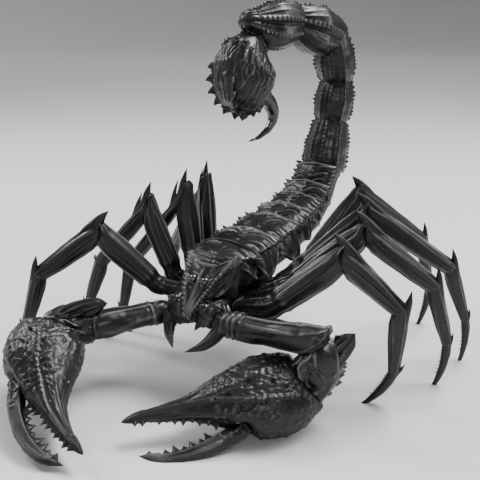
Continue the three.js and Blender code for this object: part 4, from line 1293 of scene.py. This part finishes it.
def make_forearm(side_name, elbow, elbow_face, wrist, wrist_face, bend):
    """A deeply wrinkled forearm with a toothed upper edge and a broad spur at its elbow."""
    name = f"pedipalp_{side_name}_patella"
    sleeve = Sleeve(name, np.linspace(elbow, wrist, 12), bend, elbow_face, wrist_face, sides=48, thorns=6,
                    soften=(1.6, 1.4))
    site = sleeve.site()
    site.swell = 0.3 * noise(site.points, 3.4, 62)
    relief = grain(site, 16, 1.7, 0.34, 61) + 0.12 * noise(site.points, 1.2, 65)
    relief += keels(site, 0.8 * np.arange(8), 0.4, 0.5, sway=0.3, rate=6) * ramp(site.t, 0.0, 0.15)
    relief += knobs(site, 50, (0.4, 0.8), 0.5, 63) + rims(site, 0.3, 0.3)
    shape = Shape()
    along = unit(wrist - elbow)
    tip, out = spur_tip(name, elbow, along)
    column = site.facing(len(site.line) // 2, square(out + 0.6 * Z, along))
    relief += keel(site, site.turn[0, column], 0.9, 1.0) * ramp(site.t, 1.0, 0.75)
    count = 8
    for k in range(count):
        root, way, ahead = site.bare(site.row(0.1 + 0.9 * k / count), column)
        shape.tooth(root + way * 0.8, way, -ahead, 1.4 * (1 - 0.3 * k / count), 3.0, 1.2, lean=0.5)
    make_spur(shape, site.points[site.nearest(tip)] + along * 2.0, tip, out, along)
    shape.sleeve(site, relief, dome=(0.6, 0.6))
    place(f"shell_{name}", shape, LEG, "shell", name)


def spur_tip(name, elbow, along):
    """The corner of the forearm that its spur ends at, and the way from the forearm's axis to it."""
    points = solid(name).points
    gaps = points - elbow
    off = gaps - (gaps @ along)[:, None] * along
    corner = np.argmin(gaps @ along - 0.3 * np.linalg.norm(off, axis=1))
    return points[corner], unit(off[corner])


def make_spur(shape, foot, tip, out, along):
    """A streaked leaf-like spur that lies along the forearm and ends free, with teeth on both edges."""
    side = np.cross(out, along)
    spots = [foot + along * 9 - out * 0.9, foot + along * 4 + out * 0.2, (foot + tip) / 2 + out * 0.7, tip]
    spur = drawn(spots, [1.4, 3.3, 2.8, 0.05], side, fine=0.25, flat=0.55)
    streaks = 0.3 * np.cos(spur.turn * 9 + 0.8 * np.sin(spur.t * 7)) + grain(spur, 6, 0.9, 0.2, 64)
    shape.sleeve(spur, streaks * ramp(spur.t, 1.0, 0.6), dome=(0.3, 0.04), patch=True)
    for k in range(8):
        row = spur.row(0.08 + 0.07 * k)
        for edge in (side, -side):
            root, _, ahead = spur.stand(row, spur.facing(row, unit(edge + 0.3 * out)))
            shape.tooth(root, unit(out + 0.5 * edge), ahead, 1.2, 1.6, 0.9, lean=0.4)


def hand_frame(side_name, wrist):
    """The hand's fingertip, the way along the hand to it and the way out of the hand's back."""
    hand = solid(f"pedipalp_{side_name}_hand")
    finger = solid(f"pedipalp_{side_name}_finger")
    tip = hand.points[np.argmax(np.linalg.norm(hand.points - wrist, axis=1))]
    along = unit(tip - wrist)
    aside = square(finger.points.mean(0) - wrist, along)
    return tip, along, toward(np.cross(along, aside), Z)


def make_hand(side_name, wrist, wrist_face):
    """A broad knobbed hand that narrows to its fixed finger."""
    name = f"pedipalp_{side_name}_hand"
    tip, along, back = hand_frame(side_name, wrist)
    sleeve = Sleeve(name, sliced(name, wrist, tip), np.cross(along, back), toward(wrist_face, along), None,
                    sides=64, thorns=4, soften=(1.2, 1.2), lean=0.1, pointed=(0, 6.5), straight=0.6)
    site = sleeve.site(0.26)
    palm = ramp(site.t, 0.62, 0.46)
    site.swell = 0.25 * noise(site.points, 6.0, 71) * palm
    site.swell -= 0.5 * span(site.t, 0.5, 0.75, 0.86, 1.0)
    relief = 0.06 * noise(site.points, 2.0, 72) + grain(site, 14, 1.4, 0.14, 73) * (1 - palm)
    relief += (grain(site, 30, 1.5, 0.14, 76) + 0.12 * noise(site.points, 0.9, 77)) * palm
    crests = keels(site, math.pi / 3 * np.arange(6) + 0.3, 0.5, 0.3, sway=0.16)
    relief += crests * span(site.t, 0.4, 0.62, 0.9, 1.0)
    spine = DORSAL + 0.35 * np.cos(site.t * 3.2)
    site.swell += keel(site, spine, 0.6, 0.5) * span(site.t, 0.02, 0.12, 0.8, 0.98)
    relief += beads(site, spine, 0.55, 0.4, 1.6, low=0.03, high=0.6)
    for lane in (-0.55, 0.6, 3.14, 4.0, 5.2):
        turn = DORSAL + lane + 0.2 * np.sin(site.t * 4 + lane * 3)
        relief += beads(site, turn, 0.7, 0.45, 2.1, low=0.05, high=0.55)
    relief += knobs(site, 150, (0.4, 0.75), 0.55, 74, mask=palm, stretch=1.7)
    relief += knobs(site, 560, (0.2, 0.38), 0.6, 75, mask=ramp(site.t, 0.75, 0.5), stretch=2.4)
    shape = Shape()
    shape.sleeve(site, relief + rims(site, 0.5, 0.0), dome=(0.8, 0.05))
    cutting_edge(shape, site, name, 11, 0.50, 0.95, 2.0)
    hand_spikes(shape, site, back)
    place(f"shell_{name}", shape, CLAW, "claw", name)


def hand_spikes(shape, site, back):
    """A few standing thorns along the hand's back."""
    for k in range(7):
        row = site.row(0.14 + 0.062 * k)
        swing = np.cross(site.along[row], back) * 0.5 * math.sin(2.6 * k)
        root, out, along = site.bare(row, site.facing(row, unit(back + swing)))
        shape.horn([root - out * 0.5, root + out * 0.8, root + out * 1.7 + along * 0.5],
                   0.75, tip=0.06, sides=12, steps=14, power=1.1)


def make_finger(side_name):
    """The movable finger. Its tip is the end that is farther from the hand."""
    name = f"pedipalp_{side_name}_finger"
    node = solid(name)
    hand = solid(f"pedipalp_{side_name}_hand")
    spread = node.points - node.points.mean(0)
    _, _, axes = np.linalg.svd(spread, full_matrices=False)
    ends = [node.points[np.argmin(spread @ axes[0])], node.points[np.argmax(spread @ axes[0])]]
    root, tip = sorted(ends, key=lambda p: hand.tree.find_nearest(Vector(p))[3])
    start = node.end(unit(root - tip), 0.6)
    sleeve = Sleeve(name, sliced(name, start, tip), axes[1], thorns=4, soften=(1.2, 1.2),
                    pointed=(0, 4.5), straight=0.4)
    site = sleeve.site(0.25)
    relief = grain(site, 14, 1.3, 0.14, 81) + 0.12 * noise(site.points, 3.0, 82)
    relief += keels(site, math.pi / 3 * np.arange(6), 0.55, 0.4, sway=0.2, step=1) * ramp(site.t, 1.0, 0.8)
    relief += knobs(site, 60, (0.3, 0.6), 0.6, 83, mask=ramp(site.t, 0.4, 0.1))
    shape = Shape()
    shape.sleeve(site, relief + rims(site, 0.2, 0.0), dome=(0.8, 0.05))
    cutting_edge(shape, site, name, 8, 0.30, 0.93, 2.6)
    place(f"shell_{name}", shape, CLAW, "claw", name)


def cutting_edge(shape, site, name, count, low, high, height):
    """An uneven row of saw teeth along a finger, on the side where its solid has its few big ones."""
    tips = site.tips(name, least=0.45, apart=1.8, from_t=0.4)
    shares = np.array([site.nearest(root)[0] / (len(site.line) - 1) for _, root, _ in tips])
    order = np.argsort(shares)
    outs = np.array([out for _, _, out in tips])[order]
    pitch = (high - low) * site.length / count
    uneven = (1.0, 0.6, 0.85, 0.5, 1.1)
    for k in range(count):
        t = low + (high - low) * (k + 0.5) / count
        row = site.row(t)
        column = site.facing(row, unit(np.array([np.interp(t, shares[order], axis) for axis in outs.T])))
        size = height * uneven[k % len(uneven)] * (1.1 - 0.45 * (t - low) / (high - low))
        shape.tooth(*site.stand(row, column), size, pitch * 1.3, 1.5, lean=0.45, sides=14)


# ---------------------------------------------------------------- head

def make_head():
    name = "prosoma"
    tip = solid(name).end(-Y, 0.2)
    rear, _ = joint(name, TRUNK[0], facing=Y)
    sleeve = Sleeve(name, np.linspace(tip + (0, 0.25, 0.1), rear + (0, -0.05, 3.0), 12), X, None, Y,
                    sides=96, spacing=0.5, thorns=0, soften=(0.6, 0.8), lean=0.35)
    site = sleeve.site(0.2)
    shape = Shape()
    shape.sleeve(site, carapace_relief(site, tip, rear) * ramp(site.s, 0.0, 1.0), dome=(0.4, 0.1))
    coxae(shape, rear)
    side_eyes(shape, site)
    place(f"shell_{name}", shape, SHELL, "shell", name)
    for side_name in SIDES:
        make_eye(side_name)
        make_jaw(side_name)


def carapace_relief(site, tip, rear):
    """A pointed shield: a beaded rim, ridges that follow it, eye rings, combed cheeks and a raised rear."""
    x, y, z = (site.points[..., k] for k in range(3))
    ax = np.abs(x - MIDDLE)
    back = np.clip((y - tip[1]) / (rear[1] - tip[1]), 0, 1)
    half = 0.25 + 9.4 * back ** 0.79
    fan = ax / half
    top = ramp(np.sin(site.turn), -0.02, 0.12)
    field = top * ramp(fan, 1.05, 0.95)
    relief = 0.08 * noise(site.points, 2.2, 1) - field * 0.9 * hump(fan, 0.55, 0.3) * ramp(back, 0.1, 0.4)
    middle = 0.85 * hump(ax, 0, 0.4) - 0.3 * hump(ax, 1.1, 0.5)
    relief += field * middle * span(back, 0.0, 0.08, 0.55, 0.75)
    for share, width, height in ((0.36, 0.5, 1.0), (0.70, 0.42, 0.8)):
        sway = 0.05 * np.sin(back * 9 + share * 7)
        ridge = hump((fan - share - sway) * half, 0, width)
        relief += field * height * ridge * span(back, 0.03, 0.15, 0.7, 0.85)
    relief += top * (0.7 + 1.25 * wave(site.s / 1.35)) * hump((fan - 1.0) * half, 0, 0.52)
    relief -= top * 0.5 * hump((fan - 1.2) * half, 0, 0.6)
    for side_name in SIDES:
        gap = np.linalg.norm(site.points - solid(f"eye_{side_name}").middle, axis=-1)
        relief += 0.65 * hump(gap, 1.75, 0.42)
    cheek = ramp(fan, 1.1, 1.3) * ramp(np.sin(site.turn), -0.5, -0.2)
    rays = np.arctan2(z - (tip[2] + 3), y - (tip[1] + 1))
    comb = (0.5 + 0.5 * np.cos(rays * 26 + 1.2 * noise(site.points, 4, 2))) ** 2
    relief += cheek * (1.0 * comb - 0.3)
    lip = y - (rear[1] - 1.6 - 2.4 * hump(ax, 0, 5.0))
    arcs = wave(lip / 1.25 + 0.35 * noise(site.points, 1.8, 92))
    bars = wave(ax / 1.7 + 0.4 * noise(site.points, 2.2, 93))
    relief += field * (1.2 * hump(lip, 0, 0.42) + ramp(lip, 0.4, 0.9) * (1.1 * arcs + 0.8 * bars - 1.0))
    mask = field * ramp(back, 0.3, 0.6) * ramp(fan, 1.0, 0.8)
    return relief + knobs(site, 130, (0.2, 0.45), 0.5, 91, mask=mask)


def side_eyes(shape, site):
    """Three small eyes in a row on each front corner of the head."""
    for side in SIDES.values():
        for k in range(3):
            row = site.row(0.36 + 0.07 * k)
            middle, out, _ = site.stand(row, site.facing(row, unit((side * 0.97, -0.1, 0.2))))
            shape.ball(middle, 0.45 - 0.05 * k, out, sides=14)


def coxae(shape, rear):
    """The block of leg roots under the trunk: a breast plate, and one lobe from it to each limb."""
    name = "prosoma"
    node = solid(name)
    depth = node.low[2] + 3.3
    front_end = np.array((MIDDLE, rear[1] - 6.0, depth - 0.4))
    back_end = np.array((MIDDLE, node.high[1] - 0.3, depth))
    sides = 48
    sleeve = Sleeve(name, np.linspace(front_end, back_end, 14), X, sides=sides, spacing=1.0, thorns=0,
                    soften=(0.8, 0.8))
    rise = np.sin(round_turns(sides))
    sleeve.radii = np.minimum(sleeve.radii, 6.0 / np.maximum(rise, 0.05))
    site = sleeve.site(0.4)
    shape.sleeve(site, 0.25 * noise(site.points, 3.0, 95) - 0.35, dome=(0.3, 0.3))
    for side_name, side in SIDES.items():
        for pair in range(1, 5):
            hip = solid(f"leg_{side_name}_{pair}_femur").end(-side * X)
            root = np.array((MIDDLE + side * 2.0, hip[1] * 0.8 + 1.5, hip[2] - 1.6))
            coxa(shape, hip + side * X * 0.6, root, 3.0, 1.8)
        shoulder = solid(f"pedipalp_{side_name}_femur").end(-side * X, 0.5)
        root = np.array((MIDDLE + side * 3.0, shoulder[1] + 7.5, shoulder[2] - 0.5))
        coxa(shape, shoulder + side * X * 0.8, root, 3.9, 2.8)


def coxa(shape, hip, root, radius, thin):
    """One limb root: a stout cone with folded skin round its outer end."""
    site = drawn([hip, hip * 0.6 + root * 0.4, root], [radius, 0.5 * (radius + thin), thin], Y)
    curl = site.s + 1.4 * noise(site.points, 3.0, 96)
    relief = 0.15 * wave(curl / 2.6) * ramp(site.t, 0.75, 0.5)
    shape.sleeve(site, relief + 0.15 * noise(site.points, 2.0, 97), dome=(0.5, 0.5))


def make_eye(side_name):
    name = f"eye_{side_name}"
    node = solid(name)
    shape = Shape()
    shape.ball(node.middle, (node.high[0] - node.low[0]) / 2, (node.middle[0], -0.3, 0.6), sides=40)
    place(f"glossy_{name}", shape, EYE, "eye", name)


def make_jaw(side_name):
    """A jaw: a knobbed root, a curved fang with teeth, a short fixed tooth and a round knob on top."""
    side = SIDES[side_name]
    name = f"chelicera_{side_name}"
    node = solid(name)
    low, high = node.low, node.high
    rear = node.end(Y, 0.3)
    inner, outer = sorted((low[0], high[0]), key=lambda v: abs(v - MIDDLE))

    def spot(out, ahead, down):
        """A place in the jaw's box: from its inner side, from its rear and from its top."""
        return np.array((inner + (outer - inner) * out, high[1] + (low[1] - high[1]) * ahead,
                         high[2] + (low[2] - high[2]) * down))

    front = spot((rear[0] - inner) / (outer - inner), 0.62, 0.38)
    sleeve = Sleeve(name, np.linspace(rear, front, 10), side * X, spacing=0.6, thorns=4)
    site = sleeve.site(0.22)
    relief = 0.2 * noise(site.points, 1.8, 101) + grain(site, 6, 1.2, 0.16, 102)
    relief += keels(site, 0.4 + 0.5 * np.arange(6), 0.45, 0.32) * hump(site.t, 0.55, 0.4)
    relief += knobs(site, 30, (0.35, 0.65), 0.6, 103, mask=ramp(site.t, 0.4, 0.8))
    shape = Shape()
    shape.sleeve(site, relief, dome=(0.4, 1.4))
    spots = [spot(0.5, 0.2, 0.2), spot(0.78, 0.30, 0.34), spot(0.88, 0.50, 0.58), spot(0.60, 0.76, 0.83),
             spot(0.02, 0.99, 0.985)]
    make_fang(shape, side, drawn(spots, [2.3, 2.8, 2.5, 1.6, 0.08], side * X, fine=0.2, flat=0.85))
    spots = [spot(0.2, 0.5, 0.35), spot(0.15, 0.64, 0.50), spot(0.08, 0.72, 0.61)]
    short = drawn(spots, [1.5, 1.15, 0.2], side * X, fine=0.22)
    shape.sleeve(short, 0.15 * np.cos(short.turn * 6) * (1 - short.t), dome=(0.3, 0.1), patch=True)
    ahead = unit((0, -0.6, 0.8))
    knuckle = site.top[site.nearest(spot(0.44, 0.64, 0.13))]
    shape.ball(knuckle + ahead * 0.4, 1.7, ahead, flat=0.6)
    shape.ball(knuckle + ahead * 1.5, 0.75, ahead)
    place(f"shell_{name}", shape, JAW, "jaw", name)


def make_fang(shape, side, fang):
    """The fang's skin with its twisting keels, and the teeth along its inner side."""
    twisting = [math.pi / 4 * k + 0.3 * fang.t for k in range(8)]
    relief = grain(fang, 12, 0.8, 0.16, 105) + keels(fang, twisting, 0.4, 0.38) * ramp(fang.t, 1.0, 0.7)
    shape.sleeve(fang, relief, dome=(0.3, 0.03))
    for k in range(7):
        row = fang.row(0.40 + 0.08 * k)
        column = fang.facing(row, unit((-side * 0.8, 0.45, -0.4)))
        shape.tooth(*fang.stand(row, column), 1.0 - 0.08 * k, 1.4, 0.8, lean=0.4)


# ---------------------------------------------------------------- combs

def make_combs():
    """The two combs under the belly: a middle plate, and on each side a ribbed back with fine teeth."""
    name = "pectines"
    node = solid(name)
    middle = node.middle
    pitch = 0.85
    shape = Shape()
    shape.ball(np.array((middle[0], node.low[1] + 1.6, middle[2])), 1.9, Y, flat=0.75, sides=28)
    for side in SIDES.values():
        tip = node.end(side * X, 0.3)
        root = np.array((middle[0] + side * 0.8, node.low[1] + 1.4, node.high[2] - 1.0))
        spine = [root, (root + tip) / 2 - Y, tip]
        back = drawn(spine, [1.2, 0.9, 0.4], Z, fine=0.25)
        shape.sleeve(back, 0.14 * np.cos(TURN * back.s / pitch), dome=(0.2, 0.2))
        for k, foot in enumerate(evenly(spine, pitch)[2:-1]):
            size = 1.9 - 0.06 * k
            shape.horn([foot, foot + (side * 0.2, size * 0.5, -0.5), foot + (side * 0.3, size, -0.9)],
                       0.42, tip=0.2, sides=8, steps=6)
    place(f"shell_{name}", shape, JAW, "comb", name)


# ---------------------------------------------------------------- assembly

def make_animal():
    make_head()
    make_trunk()
    make_combs()
    make_telson(make_tail())
    for side_name in SIDES:
        make_arm(side_name)
        for pair in range(1, 5):
            make_leg(side_name, pair)
    place("joint_skins", joint_skins, SKIN, "membrane")


# ---------------------------------------------------------------- studio

def make_floor(centre):
    """A pale floor that curves up into a backdrop all round."""
    flat = 0.6 * FLOOR_RADIUS
    bend = FLOOR_RADIUS - flat
    arc = 12
    rings = [(flat, 0.0)]
    for angle in TURN / 4 * np.arange(1, arc + 1) / arc:
        rings.append((flat + bend * math.sin(angle), bend * (1 - math.cos(angle))))
    rings.append((FLOOR_RADIUS, BACKDROP_HEIGHT))
    sides = 96
    points = [(centre[0], centre[1], 0.0)]
    for ring, level in rings:
        for turn in round_turns(sides):
            points.append((centre[0] + ring * math.cos(turn), centre[1] + ring * math.sin(turn), level))
    faces = [(0, 1 + k, 1 + (k + 1) % sides) for k in range(sides)]
    for row in range(len(rings) - 1):
        for k in range(sides):
            a = 1 + row * sides + k
            b = 1 + row * sides + (k + 1) % sides
            faces.append((a, a + sides, b + sides, b))
    mesh = bpy.data.meshes.new("floor")
    mesh.from_pydata(points, [], faces)
    mesh.polygons.foreach_set("use_smooth", [True] * len(mesh.polygons))
    floor = in_scene("floor", mesh)
    floor.data.materials.append(floor_look())


def in_scene(name, data):
    """An object of some data, linked to the scene."""
    made = bpy.data.objects.new(name, data)
    bpy.context.scene.collection.objects.link(made)
    return made


def face_from(thing, at, back):
    """Puts a lamp or the camera at a place, so that it looks against the given way back."""
    thing.location = at
    thing.rotation_mode = "QUATERNION"
    thing.rotation_quaternion = (-back).to_track_quat("-Z", "Y")


def make_lamps(centre):
    """Soft lamps round the animal, a wide weak sun from above and an even glow from all round."""
    for name, (offset, size, power) in LAMPS.items():
        data = bpy.data.lights.new(name, "AREA")
        data.shape = "RECTANGLE"
        data.size, data.size_y = size
        data.energy = power
        face_from(in_scene(name, data), Vector(centre) + Vector(offset), Vector(offset))
    data = bpy.data.lights.new("sky", "SUN")
    data.energy = SKY_POWER
    data.angle = SKY_SPREAD
    in_scene("sky", data).rotation_euler = SKY_LEAN
    world = bpy.data.worlds.new("studio")
    world.use_nodes = True
    glow = world.node_tree.nodes["Background"]
    glow.inputs["Color"].default_value = SKY_TONE
    glow.inputs["Strength"].default_value = WORLD_STRENGTH
    bpy.context.scene.world = world


def make_camera():
    data = bpy.data.cameras.new("camera")
    data.lens = LENS
    data.sensor_width = SENSOR_WIDTH
    data.clip_start, data.clip_end = CAMERA_CLIP
    camera = in_scene("camera", data)
    back = Vector((
        math.sin(CAMERA_AZIMUTH) * math.cos(CAMERA_ELEVATION),
        -math.cos(CAMERA_AZIMUTH) * math.cos(CAMERA_ELEVATION),
        math.sin(CAMERA_ELEVATION)))
    face_from(camera, (Vector(CAMERA_TARGET) + back * CAMERA_DISTANCE) * MM, back)
    bpy.context.scene.camera = camera


def make_studio():
    centre = (CAD_BOX[0] + CAD_BOX[1]) / 2
    make_floor(centre)
    make_lamps(centre)
    make_camera()


make_studio()
make_animal()
